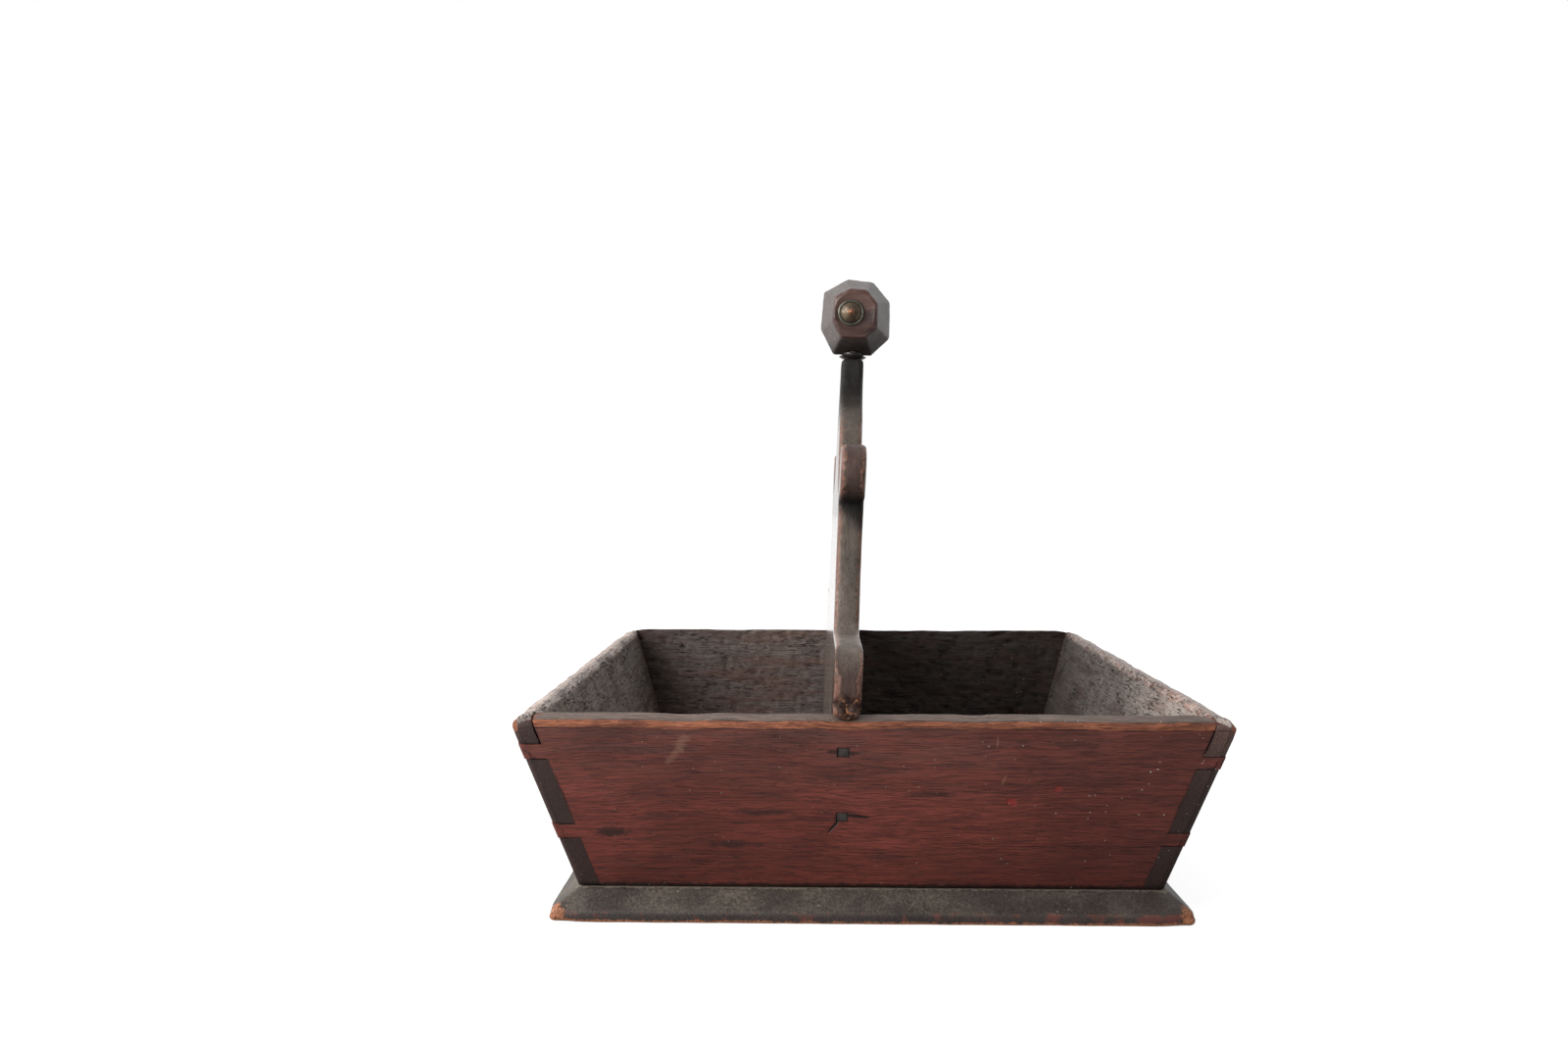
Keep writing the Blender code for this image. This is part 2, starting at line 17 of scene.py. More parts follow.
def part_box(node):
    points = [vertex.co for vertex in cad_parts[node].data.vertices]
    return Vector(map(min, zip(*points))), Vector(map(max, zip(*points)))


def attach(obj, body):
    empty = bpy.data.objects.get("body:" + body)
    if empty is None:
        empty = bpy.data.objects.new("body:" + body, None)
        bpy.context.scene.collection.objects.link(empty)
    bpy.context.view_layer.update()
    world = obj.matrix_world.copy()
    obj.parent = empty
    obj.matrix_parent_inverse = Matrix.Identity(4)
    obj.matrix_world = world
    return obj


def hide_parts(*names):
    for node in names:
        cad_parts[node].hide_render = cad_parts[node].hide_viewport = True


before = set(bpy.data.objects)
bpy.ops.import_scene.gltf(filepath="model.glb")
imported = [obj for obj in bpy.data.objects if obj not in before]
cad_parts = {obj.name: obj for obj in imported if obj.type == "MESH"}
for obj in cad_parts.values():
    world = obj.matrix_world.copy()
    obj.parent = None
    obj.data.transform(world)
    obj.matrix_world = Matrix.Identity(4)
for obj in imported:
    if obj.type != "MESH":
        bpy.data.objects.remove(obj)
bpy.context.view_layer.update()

MM = 0.001
ACROSS = Vector((1, 0, 0))
ALONG = Vector((0, 1, 0))
UP = Vector((0, 0, 1))

# Camera: a little above the rim, turned slightly left
CAMERA_PLACE = (-0.0205, -0.6955, 0.1552)
CAMERA_TURN = math.radians(1.137)
CAMERA_DIP = math.radians(1.353)
CAMERA_ROLL = math.radians(0.133)
CAMERA_LENS = 35.28
SENSOR_WIDTH = 36

KEY_PLACE = (-1.5, -0.95, 0.95)
KEY_AIM = (0, 0, 0.1)
KEY_SIZE = (2.0, 1.4)
KEY_POWER = 53

FLOOR_REACH = 8
FLOOR_GAP = 0.2 * MM
FLOOR_GREY = (0.45, 0.45, 0.45)
WHITE = (1, 1, 1)

# ---------- node graphs


class Graph:
    """Adds nodes to a material or a group, and feeds their inputs."""

    def __init__(self, tree):
        self.tree = tree

    def feed(self, socket, value):
        """Give an input a number, a colour, a node's output, or a mask of the mesh by its name."""
        if isinstance(value, str):
            value = self.node("ShaderNodeAttribute", attribute_name=value).outputs["Fac"]
        if isinstance(value, bpy.types.NodeSocket):
            self.tree.links.new(value, socket)
        else:
            socket.default_value = (*value, 1) if socket.type == "RGBA" else value

    def node(self, kind, feeds=None, **settings):
        made = self.tree.nodes.new(kind)
        made.location = (180 * (len(self.tree.nodes) % 9), -220 * (len(self.tree.nodes) // 9))
        for name, value in settings.items():
            setattr(made, name, value)
        for socket, value in (feeds or {}).items():
            self.feed(made.inputs[socket], value)
        return made

    def calc(self, operation, *values):
        return self.node("ShaderNodeMath", dict(enumerate(values)), operation=operation).outputs[0]

    def times(self, *values):
        return self.calc("MULTIPLY", *values)

    def plus(self, *values):
        return self.calc("ADD", *values)

    def minus(self, *values):
        return self.calc("SUBTRACT", *values)

    def most(self, *values):
        return self.calc("MAXIMUM", *values)

    def per(self, value):
        return self.calc("DIVIDE", 1.0, value)

    def vector(self, operation, *values, gives="Vector"):
        feeds = dict(enumerate(values))
        return self.node("ShaderNodeVectorMath", feeds, operation=operation).outputs[gives]

    def xyz(self, *values):
        return self.node("ShaderNodeCombineXYZ", dict(enumerate(values))).outputs[0]

    def spread(self, value, low, high, new_low=0.0, new_high=1.0):
        """value eased from new_low at low to new_high at high."""
        feeds = {0: value, 1: low, 2: high, 3: new_low, 4: new_high}
        return self.node("ShaderNodeMapRange", feeds, interpolation_type="SMOOTHSTEP").outputs[0]

    def noise(self, vector, scale=1.0, detail=3.0, roughness=0.55, distortion=0.0):
        feeds = {"Vector": vector, "Scale": scale, "Detail": detail,
                 "Roughness": roughness, "Distortion": distortion}
        return self.node("ShaderNodeTexNoise", feeds).outputs[0]

    def mix(self, share, low, high, blend="MIX"):
        made = self.node("ShaderNodeMix", data_type="RGBA", blend_type=blend)
        for socket, value in ((0, share), (6, low), (7, high)):
            self.feed(made.inputs[socket], value)
        return made.outputs[2]

    def coats(self, colour, *coats):
        """A colour with coats over it, each a mask and a colour."""
        for mask, coat in coats:
            colour = self.mix(mask, colour, coat)
        return colour

    def tint(self, colour, painted_light):
        return self.mix(1.0, colour, painted_light, "MULTIPLY")

    def between(self, share, low, high):
        """A number between two."""
        return self.node("ShaderNodeMix", {0: share, 2: low, 3: high}).outputs[0]

    def place(self):
        return self.node("ShaderNodeTexCoord").outputs["Object"]

    def laid_along(self, place, grain):
        """Coordinates whose X runs along the grain."""
        turn = grain.rotation_difference(ACROSS).to_euler()
        return self.node("ShaderNodeMapping", {"Vector": place, "Rotation": turn}).outputs[0]

    def group(self, tree, *feeds):
        """The outputs of a group node, whose inputs are fed in their order."""
        return self.node("ShaderNodeGroup", dict(enumerate(feeds)), node_tree=tree).outputs

    def grain(self, place, fibre_length=0.012, fibre_width=0.0007, figure_width=0.008):
        return self.group(WOOD_GRAIN, place, fibre_length, fibre_width, figure_width)

    def broken(self, mask, place, size, ragged):
        return self.group(BROKEN_EDGE, mask, place, size, ragged)[0]

    def drift(self, place, size, low, high):
        return self.group(TONE_DRIFT, place, size, low, high)[0]

    def dust(self, place, spacing, share, speck):
        return self.group(DUST, place, spacing, share, speck)[0]

    def pits(self, place, length, height, share):
        return self.group(PITS, place, length, height, share)[0]


VECTOR_INPUTS = ("Place", "Grain", "Middle", "Reach")


def new_group(name, *inputs):
    """The graph of an empty node group, and what it is given."""
    tree = bpy.data.node_groups.new(name, "ShaderNodeTree")
    for label in inputs:
        kind = "NodeSocketVector" if label in VECTOR_INPUTS else "NodeSocketFloat"
        tree.interface.new_socket(label, in_out="INPUT", socket_type=kind)
    graph = Graph(tree)
    return graph, graph.node("NodeGroupInput").outputs


def whole_group(graph, **gives):
    """The node group of this graph, with what it gives."""
    for label in gives:
        graph.tree.interface.new_socket(label, in_out="OUTPUT", socket_type="NodeSocketFloat")
    graph.node("NodeGroupOutput", gives)
    return graph.tree


def wood_grain_group():
    """Fibres, open pores and broad figure of a board whose grain runs along X."""
    graph, given = new_group("wood_grain", "Place", "Fibre length", "Fibre width", "Figure width")
    along = graph.per(given["Fibre length"])
    over = graph.per(given["Fibre width"])
    sway = graph.noise(given["Place"], scale=22.0, detail=2.0)
    lifted = graph.vector("ADD", given["Place"], graph.xyz(0, 0, graph.times(sway, 0.006)))
    stretched = graph.vector("MULTIPLY", lifted, graph.xyz(along, over, over))
    fibres = graph.noise(stretched, roughness=0.6)
    shorter = graph.vector("MULTIPLY", stretched, (2.2, 1.7, 1.7))
    pores = graph.spread(graph.noise(shorter, detail=1.0), 0.60, 0.74)
    broad = graph.per(given["Figure width"])
    flow = graph.xyz(graph.times(broad, 0.12), broad, broad)
    bands = graph.vector("MULTIPLY", lifted, flow)
    figure = graph.noise(bands, detail=4.0, roughness=0.6, distortion=0.4)
    return whole_group(
        graph, Fibres=graph.spread(fibres, 0.28, 0.72), Figure=graph.spread(figure, 0.30, 0.70),
        Pores=pores, Height=graph.minus(graph.times(fibres, 0.6), graph.times(pores, 0.5)))


def broken_edge_group():
    """A mask from the mesh with its outline broken up, as where wear or dirt fades out."""
    graph, given = new_group("broken_edge", "Mask", "Place", "Size", "Ragged")
    rag = graph.noise(given["Place"], scale=graph.per(given["Size"]), detail=4.0, roughness=0.65)
    shift = graph.times(graph.minus(rag, 0.5), given["Ragged"])
    whole = graph.spread(graph.plus(given["Mask"], graph.times(shift, 2.0)), 0.35, 0.65)
    return whole_group(graph, Mask=graph.times(whole, graph.spread(given["Mask"], 0.01, 0.15)))


def tone_drift_group():
    """A slow change of colour over a surface, from Low to High."""
    graph, given = new_group("tone_drift", "Place", "Size", "Low", "High")
    slow = graph.noise(given["Place"], scale=graph.per(given["Size"]), roughness=0.5)
    return whole_group(graph, Tone=graph.spread(slow, 0.3, 0.7, given["Low"], given["High"]))


def dust_group():
    """Separate pale specks of dust."""
    graph, given = new_group("dust_specks", "Place", "Spacing", "Share", "Speck")
    cells = graph.node("ShaderNodeTexVoronoi", {
        "Vector": given["Place"], "Scale": graph.per(given["Spacing"])}).outputs
    chosen = graph.node("ShaderNodeSeparateColor", {0: cells["Color"]}).outputs
    kept = graph.calc("LESS_THAN", chosen[0], given["Share"])
    size = graph.times(given["Speck"], graph.plus(chosen[1], 0.4))
    near = graph.spread(graph.calc("DIVIDE", cells["Distance"], size), 0.6, 1.1, 1.0, 0.0)
    return whole_group(graph, Mask=graph.times(kept, near))


def end_grain_group():
    """1 where a face is cut across the grain."""
    graph, given = new_group("end_grain", "Grain")
    facing = graph.node("ShaderNodeNewGeometry").outputs["Normal"]
    turn = graph.vector("DOT_PRODUCT", facing, given["Grain"], gives="Value")
    return whole_group(graph, Mask=graph.spread(graph.calc("ABSOLUTE", turn), 0.62, 0.82))


def pits_group():
    """Small torn pits, longest along X, gathered in patches."""
    graph, given = new_group("pits", "Place", "Length", "Height", "Share")
    over = graph.per(given["Height"])
    size = graph.xyz(graph.per(given["Length"]), over, over)
    laid = graph.vector("MULTIPLY", given["Place"], size)
    torn = graph.noise(laid, detail=4.0, roughness=0.62, distortion=0.6)
    patch = graph.noise(given["Place"], scale=70.0, detail=2.0)
    level = graph.plus(torn, graph.times(graph.minus(patch, 0.5), 0.35))
    edge = graph.minus(0.82, graph.times(given["Share"], 0.5))
    return whole_group(graph, Mask=graph.spread(graph.minus(level, edge), 0.0, 0.10))


def mark_group():
    """One mark, as long and as high as Reach from its Middle, turned by Slant."""
    graph, given = new_group("mark", "Place", "Middle", "Reach", "Slant", "Ragged")
    apart = graph.vector("SUBTRACT", given["Place"], given["Middle"])
    turned = graph.node("ShaderNodeVectorRotate", {"Vector": apart, "Angle": given["Slant"]},
                        rotation_type="Y_AXIS").outputs[0]
    scaled = graph.vector("DIVIDE", turned, given["Reach"])
    reach = graph.vector("LENGTH", scaled, gives="Value")
    rag = graph.noise(given["Place"], scale=520.0, roughness=0.6)
    shift = graph.times(graph.minus(rag, 0.5), graph.times(given["Ragged"], 2.4))
    return whole_group(graph, Mask=graph.spread(graph.plus(reach, shift), 0.45, 1.0, 1.0, 0.0))


WOOD_GRAIN = wood_grain_group()
BROKEN_EDGE = broken_edge_group()
TONE_DRIFT = tone_drift_group()
DUST = dust_group()
END_GRAIN = end_grain_group()
PITS = pits_group()
MARK = mark_group()


class Finish(Graph):
    """A material's nodes around its shader."""

    def __init__(self, name):
        self.material = bpy.data.materials.new(name)
        self.material.use_nodes = True
        self.material.node_tree.nodes.clear()
        super().__init__(self.material.node_tree)
        self.shader = self.node("ShaderNodeBsdfPrincipled")
        self.node("ShaderNodeOutputMaterial", {"Surface": self.shader.outputs[0]})

    def shade(self, **feeds):
        """Feed the shader's inputs, whose names have _ for each space."""
        for name, value in feeds.items():
            self.feed(self.shader.inputs[name.replace("_", " ")], value)

    def done(self, colour, rough, height, depth, specular=0.5):
        """The finished material. depth is how deep its relief is, in millimetres."""
        relief = self.node(
            "ShaderNodeBump", {"Height": height, "Distance": depth * MM, "Strength": 1.0})
        self.shade(Base_Color=colour, Roughness=rough, Normal=relief.outputs[0],
                   Specular_IOR_Level=specular)
        return self.material


# ---------- finishes
# Colours are linear. Two colours are the dark and the light of one surface.

VARNISH = (0.052, 0.0150, 0.0118), (0.325, 0.070, 0.050)
# Painted sheen: the grey laid over the varnish near its top.
PAINTED_SHEEN_GREY = (0.165, 0.092, 0.078)
RED_LEFT = (0.120, 0.036, 0.025)
RED_SHADE = (0.018, 0.004, 0.003)
BARE = (0.150, 0.050, 0.028), (0.500, 0.178, 0.088)
# Wood worn pale by hands on the side rims, near-white at its lightest as painted sheen.
RUBBED_AND_SHEEN_PALE = (0.290, 0.205, 0.165), (0.780, 0.630, 0.540)
RUBBED_SPECK = (0.085, 0.045, 0.034)
END_INSIDE = (0.034, 0.026, 0.022), (0.180, 0.138, 0.120)
# The side walls' inside wood, made lighter than the end walls' as painted sheen.
SIDE_INSIDE_AND_SHEEN = (0.100, 0.080, 0.070), (0.370, 0.310, 0.272)
INSIDE_RUDDY = (0.105, 0.048, 0.036)
RIM = (0.092, 0.062, 0.050), (0.240, 0.168, 0.135)
ENDS = (0.032, 0.018, 0.015), (0.088, 0.052, 0.044)
# Dark soiling for pits, joints and marks, also used as painted shade at the walls' foot, below the
# knob and over the neck ring.
DARK_GRIME_AND_SHADE = (0.012, 0.009, 0.008)
# Near-black for the column's top, partly soiling and partly painted shade, and for the painted
# shadow below each scroll.
SOOT_AND_SHADOW_BLACK = (0.006, 0.005, 0.005)
DUST_PALE = (0.34, 0.30, 0.26)
SPECK = (0.62, 0.56, 0.50)
STAIN = (0.022, 0.014, 0.012)
SCRATCH = (0.30, 0.155, 0.105)
PIT_RED = (0.34, 0.040, 0.034)
BASE_PAINT = (0.024, 0.018, 0.016), (0.062, 0.047, 0.040)
BASE_RED = (0.17, 0.042, 0.030)
BASE_BARE = (0.16, 0.050, 0.024), (0.56, 0.230, 0.105)
BASE_DUST = (0.26, 0.215, 0.165)
BASE_SHADE = (0.014, 0.010, 0.009)
DIVIDER_GREY = (0.082, 0.063, 0.051), (0.205, 0.166, 0.138)
DIVIDER_BROWN = (0.038, 0.021, 0.017), (0.105, 0.064, 0.053)
DIVIDER_BARE = (0.150, 0.062, 0.042), (0.330, 0.180, 0.130)
DIVIDER_TORN = (0.034, 0.013, 0.009), (0.600, 0.260, 0.120)
# The finial's facets, painted grey as sheen.
KNOB_GREY_AND_SHEEN = (0.052, 0.041, 0.038), (0.150, 0.121, 0.110)
KNOB_DISH = (0.045, 0.022, 0.018), (0.150, 0.078, 0.062)
KNOB_BARE = (0.26, 0.165, 0.130)
BRASS_DOME = (0.070, 0.046, 0.030), (0.210, 0.155, 0.100)
BRASS_TIP = (0.300, 0.130, 0.070)
BRASS_FLANGE = (0.070, 0.066, 0.050), (0.190, 0.180, 0.140)
IRON = (0.022, 0.018, 0.017), (0.062, 0.050, 0.045)

# Marks on the front: colour, how strong, how deep, middle across and above the
# floor, half length and half height, slant. Lengths are in millimetres.
Mark = namedtuple("Mark", "colour share depth across height reach tall slant ragged")
FRONT_MARKS = (
    Mark(STAIN, 0.80, 0.0, -92.5, 32.0, 9.0, 2.3, 0, 0.5),
    Mark(STAIN, 0.60, 0.0, -38.0, 39.7, 14.0, 1.5, 1, 0.5),
    Mark(STAIN, 0.60, 0.0, -48.6, 27.5, 13.0, 1.6, -1, 0.5),
    Mark(STAIN, 0.30, 0.0, -15.5, 54.0, 12.0, 5.0, 0, 0.5),
    Mark(STAIN, 0.55, 0.0, 20.0, 47.0, 10.0, 1.4, 1, 0.5),
    Mark(STAIN, 0.50, 0.0, 70.0, 66.0, 12.0, 1.8, -2, 0.5),
    Mark(STAIN, 0.75, 0.1, -10.2, 62.5, 7.5, 1.5, -6, 0.4),
    Mark(STAIN, 0.70, 0.1, -10.7, 38.0, 3.8, 2.4, 0, 0.3),
    Mark(DARK_GRIME_AND_SHADE, 0.95, 1.0, -13.2, 34.8, 4.6, 0.70, 52, 0.15),
    Mark(DARK_GRIME_AND_SHADE, 0.95, 1.0, -4.8, 38.5, 6.4, 0.75, -6, 0.15),
    Mark(SCRATCH, 0.42, 0.0, -66.4, 66.2, 5.0, 3.0, 52, 0.8),
    Mark(SCRATCH, 0.34, 0.0, -69.0, 62.2, 6.5, 1.9, 58, 0.8),
    Mark(SCRATCH, 0.60, 0.0, 43.3, 66.4, 3.6, 0.45, 88, 0.5),
    Mark(SCRATCH, 0.55, 0.0, 46.3, 52.9, 2.8, 0.6, 70, 0.5),
    Mark(PIT_RED, 0.85, 0.5, 49.1, 44.4, 2.5, 1.9, 0, 0.4),
    Mark(PIT_RED, 0.80, 0.5, 65.3, 49.4, 1.9, 1.6, 0, 0.4),
)
FRONT_PLACE = -0.156
MARK_DEPTH = 0.025

# Torn pits inside the walls: length and height in metres, share of the face, darkness
Pits = namedtuple("Pits", "length height share strength")
END_PITS = Pits(0.0070, 0.0009, 0.42, 0.60)
SIDE_PITS = Pits(0.0050, 0.0007, 0.50, 0.85)


def wall_wood(name, grain, inside_tones, pits, marks=()):
    """Red varnish outside, dirty bare wood inside with painted light and shade on it; grain is the
    direction it runs in.
    """
    graph = Finish(name)
    place = graph.place()
    laid = graph.laid_along(place, grain)
    wood = graph.grain(laid, 0.030, 0.0006, 0.007)
    fine = graph.grain(laid, 0.014, 0.00036, 0.0028)
    drift = graph.drift(place, 0.045, 0.80, 1.18)

    streaked = graph.plus(graph.times(wood["Fibres"], 0.32), graph.plus(
        graph.times(wood["Figure"], 0.24), graph.times(fine["Fibres"], 0.44)))
    streaked = graph.spread(streaked, 0.0, 1.0, 0.12, 0.86)
    red = graph.mix(streaked, *VARNISH)
    # Painted sheen: grey over the red varnish, most at the top and towards the left.
    painted_sheen = graph.times("painted_sheen", graph.plus(0.35, graph.times(fine["Figure"], 0.65)))
    red = graph.mix(painted_sheen, red, graph.mix(streaked, ENDS[1], PAINTED_SHEEN_GREY))
    pores = graph.most(graph.times(wood["Pores"], 0.55), fine["Pores"])
    red = graph.mix(graph.times(pores, 0.58), red, STAIN)
    red = graph.tint(red, drift)

    dents = graph.times(pores, 0.45)
    for mark in marks:
        found = graph.group(
            MARK, place, (mark.across * MM, FRONT_PLACE, mark.height * MM),
            (mark.reach * MM, MARK_DEPTH, mark.tall * MM), math.radians(mark.slant),
            mark.ragged)[0]
        red = graph.mix(graph.times(found, mark.share), red, mark.colour)
        if mark.depth:
            dents = graph.plus(dents, graph.times(found, mark.depth))

    torn = graph.pits(laid, pits.length, pits.height, pits.share)
    inner = graph.mix(graph.plus(
        graph.times(wood["Fibres"], 0.5), graph.times(fine["Fibres"], 0.5)), *inside_tones)
    ruddy = graph.times(graph.spread(wood["Figure"], 0.45, 0.9), 0.55)
    inner = graph.coats(inner, (ruddy, INSIDE_RUDDY), (graph.times(torn, pits.strength), DARK_GRIME_AND_SHADE))
    # Painted light and shade: the inside wood and the end grain are made lighter or darker by how
    # light falls on them.
    painted_light = graph.times("painted_light", 2.0)
    inner = graph.tint(graph.tint(inner, drift), painted_light)
    streaks = graph.plus(graph.times(wood["Figure"], 0.45), graph.times(fine["Fibres"], 0.55))
    drawn_out = graph.vector("MULTIPLY", laid, (0.16, 1, 1))
    left_red = graph.broken(0.42, drawn_out, 0.0019, 0.9)
    bare = graph.coats(graph.mix(streaks, *BARE), (graph.times(fine["Pores"], 0.85), VARNISH[0]),
                       (graph.times(left_red, 0.62), RED_LEFT))
    pinker = graph.times(graph.drift(place, 0.004, 0.0, 0.85), "pinkish")
    speckled = graph.pits(laid, 0.0040, 0.0010, 0.53)
    # The side rims' band, worn by hands and painted pale as sheen.
    rubbed_and_sheen = graph.coats(graph.mix(streaks, *RUBBED_AND_SHEEN_PALE), (pinker, bare),
                         (graph.times(speckled, 0.85), RUBBED_SPECK))
    ends = graph.tint(graph.mix(fine["Fibres"], *ENDS), graph.times(drift, painted_light))

    cut = graph.most(graph.group(END_GRAIN, grain)[0], "tail_end")
    on_inside = graph.broken("inside", place, 0.004, 0.3)
    on_rim = graph.broken("rim", laid, 0.003, 0.3)
    rubbed_and_sheen_band = graph.broken("rubbed_and_sheen", place, 0.003, 0.9)
    worn = graph.broken("bare", laid, 0.005, 0.65)
    # Soiling at the wall's foot, with painted shade in the crease where it meets the base.
    foot_grime_and_shade = graph.times(graph.broken("grime_and_shade", place, 0.004, 0.4), 0.85)
    gap = graph.times(graph.spread("seam", 0.55, 0.95), graph.drift(place, 0.012, 0.0, 0.75))
    specks = graph.times(graph.dust(place, 0.0030, 0.70, 0.085), "specks")
    # The last coat paints shade over the outside, darker to the right and towards the foot.
    colour = graph.coats(
        red, (cut, ends), (on_inside, inner), (on_rim, graph.mix(fine["Fibres"], *RIM)),
        (rubbed_and_sheen_band, rubbed_and_sheen), (worn, bare), (foot_grime_and_shade, DARK_GRIME_AND_SHADE), (gap, DARK_GRIME_AND_SHADE), (specks, SPECK),
        ("painted_shade", RED_SHADE))

    dull = graph.most(graph.most(on_inside, graph.times(worn, 0.8)), cut)
    rough = graph.between(dull, graph.spread(fine["Fibres"], 0.0, 1.0, 0.40, 0.54), 0.66)
    rough = graph.between(on_rim, graph.between(rubbed_and_sheen_band, rough, 0.34), 0.45)
    height = graph.minus(graph.times(wood["Height"], 0.5), dents)
    for mask, where, depth in ((torn, on_inside, 2.2), (speckled, rubbed_and_sheen_band, 1.6)):
        height = graph.minus(height, graph.times(mask, graph.times(where, depth)))
    return graph.done(colour, rough, height, depth=0.45, specular=0.3)


def base_wood():
    """Dark dusty boards, bare on the worn corners."""
    graph = Finish("base_wood")
    place = graph.place()
    wood = graph.grain(graph.laid_along(place, ALONG))
    colour = graph.mix(wood["Fibres"], *BASE_PAINT)
    colour = graph.tint(colour, graph.drift(place, 0.03, 0.75, 1.25))
    red = graph.times(graph.broken("red", place, 0.007, 0.9), 0.75)
    worn = graph.broken("bare", place, 0.0035, 0.6)

    film = graph.drift(place, 0.016, 0.10, 0.62)
    soft = graph.noise(place, scale=900.0, roughness=0.7)
    film = graph.times(film, graph.spread(soft, 0.36, 0.66, 0.25, 1.0))
    fine = graph.times(graph.dust(place, 0.0012, 0.45, 0.24), 0.5)
    coarse = graph.dust(place, 0.005, 0.40, 0.09)
    lies = graph.times("dust", graph.most(film, graph.most(fine, coarse)))
    lies = graph.most(lies, graph.times(graph.broken("foot", place, 0.002, 0.8), 0.7))
    lies = graph.most(lies, graph.times(graph.broken("arris", place, 0.003, 0.8), 0.60))
    colour = graph.coats(
        colour, (red, BASE_RED), (worn, graph.mix(wood["Fibres"], *BASE_BARE)),
        (lies, BASE_DUST), (graph.times("right", 0.26), BASE_SHADE))
    height = graph.plus(wood["Height"], graph.times(lies, 0.3))
    return graph.done(colour, graph.between(lies, 0.46, 0.8), height, depth=0.3)


def divider_wood(name):
    """Grey-brown wood worn by handling, whose arrises are worn red, blackened at its column's top
    by soiling and painted shade, with a painted shadow below each scroll.
    """
    graph = Finish(name)
    place = graph.place()
    wood = graph.grain(graph.laid_along(place, UP), 0.008, 0.0006)
    streaked = graph.plus(graph.times(wood["Fibres"], 0.55), graph.times(wood["Figure"], 0.45))
    colour = graph.mix(
        "brown", graph.mix(streaked, *DIVIDER_GREY), graph.mix(streaked, *DIVIDER_BROWN))
    colour = graph.tint(colour, graph.drift(place, 0.02, 0.72, 1.25))
    worn = graph.times(graph.broken("bare", place, 0.0016, 0.9), 0.8)
    torn_tone = graph.noise(place, scale=480.0, detail=4.0, roughness=0.65)
    # Near-black at the column's top and below each scroll: soiling with painted shade, and a
    # painted shadow.
    colour = graph.coats(
        colour, (worn, graph.mix(wood["Fibres"], *DIVIDER_BARE)), ("soot_and_shadow", SOOT_AND_SHADOW_BLACK),
        ("torn", graph.mix(graph.spread(torn_tone, 0.48, 0.68), *DIVIDER_TORN)),
        (graph.times(graph.dust(place, 0.0028, 0.3, 0.10), 0.6), DUST_PALE))
    rough = 0.42
    for mask, value in (("side", 0.13), ("soot_and_shadow", 0.62), ("torn", 0.75)):
        rough = graph.between(mask, rough, value)
    height = graph.times(wood["Height"], graph.minus(1.0, graph.times("side", 0.85)))
    return graph.done(colour, rough, height, depth=0.3, specular=0.3)


def turned_wood():
    """The finial's hard glossy wood, painted grey on its facets as sheen and red-brown in its dish.
    """
    graph = Finish("finial_wood")
    place = graph.place()
    wood = graph.grain(place, 0.006, 0.0006)
    # The facets painted grey as sheen; the dish keeps the wood's red-brown.
    grey = graph.mix(wood["Fibres"], *KNOB_GREY_AND_SHEEN)
    colour = graph.mix("dish", grey, graph.mix(wood["Figure"], *KNOB_DISH))
    worn = graph.times(graph.broken("bare", place, 0.002, 0.9), 0.7)
    holes = graph.times(graph.pits(place, 0.0014, 0.0011, 0.25), "pitted")
    # The last dark coat paints shade on the knob's bottom and over the neck ring.
    colour = graph.coats(
        colour, (worn, KNOB_BARE), (graph.times(holes, 0.8), DARK_GRIME_AND_SHADE), ("grime_and_shade", DARK_GRIME_AND_SHADE))
    height = graph.minus(graph.times(wood["Height"], 0.5), holes)
    return graph.done(colour, 0.34, height, depth=0.2, specular=0.55)


def stud_metal():
    """Brass worn brown on its dome and gone grey-green on its flange."""
    graph = Finish("stud_brass")
    place = graph.place()
    patina = graph.drift(place, 0.0022, 0.0, 1.0)
    colour = graph.coats(
        graph.mix(patina, *BRASS_DOME), ("tip", BRASS_TIP),
        ("flange", graph.mix(patina, *BRASS_FLANGE)), ("groove", DARK_GRIME_AND_SHADE))
    graph.shade(Metallic=graph.spread(patina, 0.0, 1.0, 0.35, 0.7))
    rough = graph.spread(patina, 0.0, 1.0, 0.42, 0.26)
    return graph.done(colour, rough, graph.noise(place, scale=1500.0), depth=0.1)


def aged_iron():
    graph = Finish("nail_iron")
    place = graph.place()
    patina = graph.drift(place, 0.0025, 0.0, 1.0)
    rough = graph.spread(patina, 0.0, 1.0, 0.85, 0.65)
    grit = graph.noise(place, scale=1500.0)
    return graph.done(graph.mix(patina, *IRON), rough, grit, depth=0.1)


# ---------- mesh work

Face = namedtuple("Face", "normal offset")
WELD = 0.002 * MM
IN_PLANE = 0.02 * MM
FLAT_TURN = math.radians(0.5)
MOST_MASK = 1.5


def placed(name, data):
    made = bpy.data.objects.new(name, data)
    bpy.context.scene.collection.objects.link(made)
    return made


def solid_of(node):
    """The node's solid with its flat faces made whole."""
    work = bmesh.new()
    work.from_mesh(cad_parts[node].data)
    bmesh.ops.remove_doubles(work, verts=work.verts, dist=WELD)
    bmesh.ops.dissolve_limit(work, angle_limit=FLAT_TURN, verts=work.verts, edges=work.edges)
    return work


def plane_of(face):
    normal = face.normal.copy()
    return Face(np.array(normal), normal.dot(face.verts[0].co))


def broad_face(node, direction):
    """The broadest flat face of a node that looks in that direction."""
    work = solid_of(node)
    facing = [face for face in work.faces if face.normal.dot(direction) > 0.8]
    found = plane_of(max(facing, key=lambda face: face.calc_area()))
    work.free()
    return found


def depth_below(points, face):
    return face.offset - points @ face.normal


def lies_in(face, plane):
    middle = np.array(face.calc_center_median())
    aligned = np.array(face.normal) @ plane.normal > 0.999
    return aligned and abs(depth_below(middle, plane)) < IN_PLANE


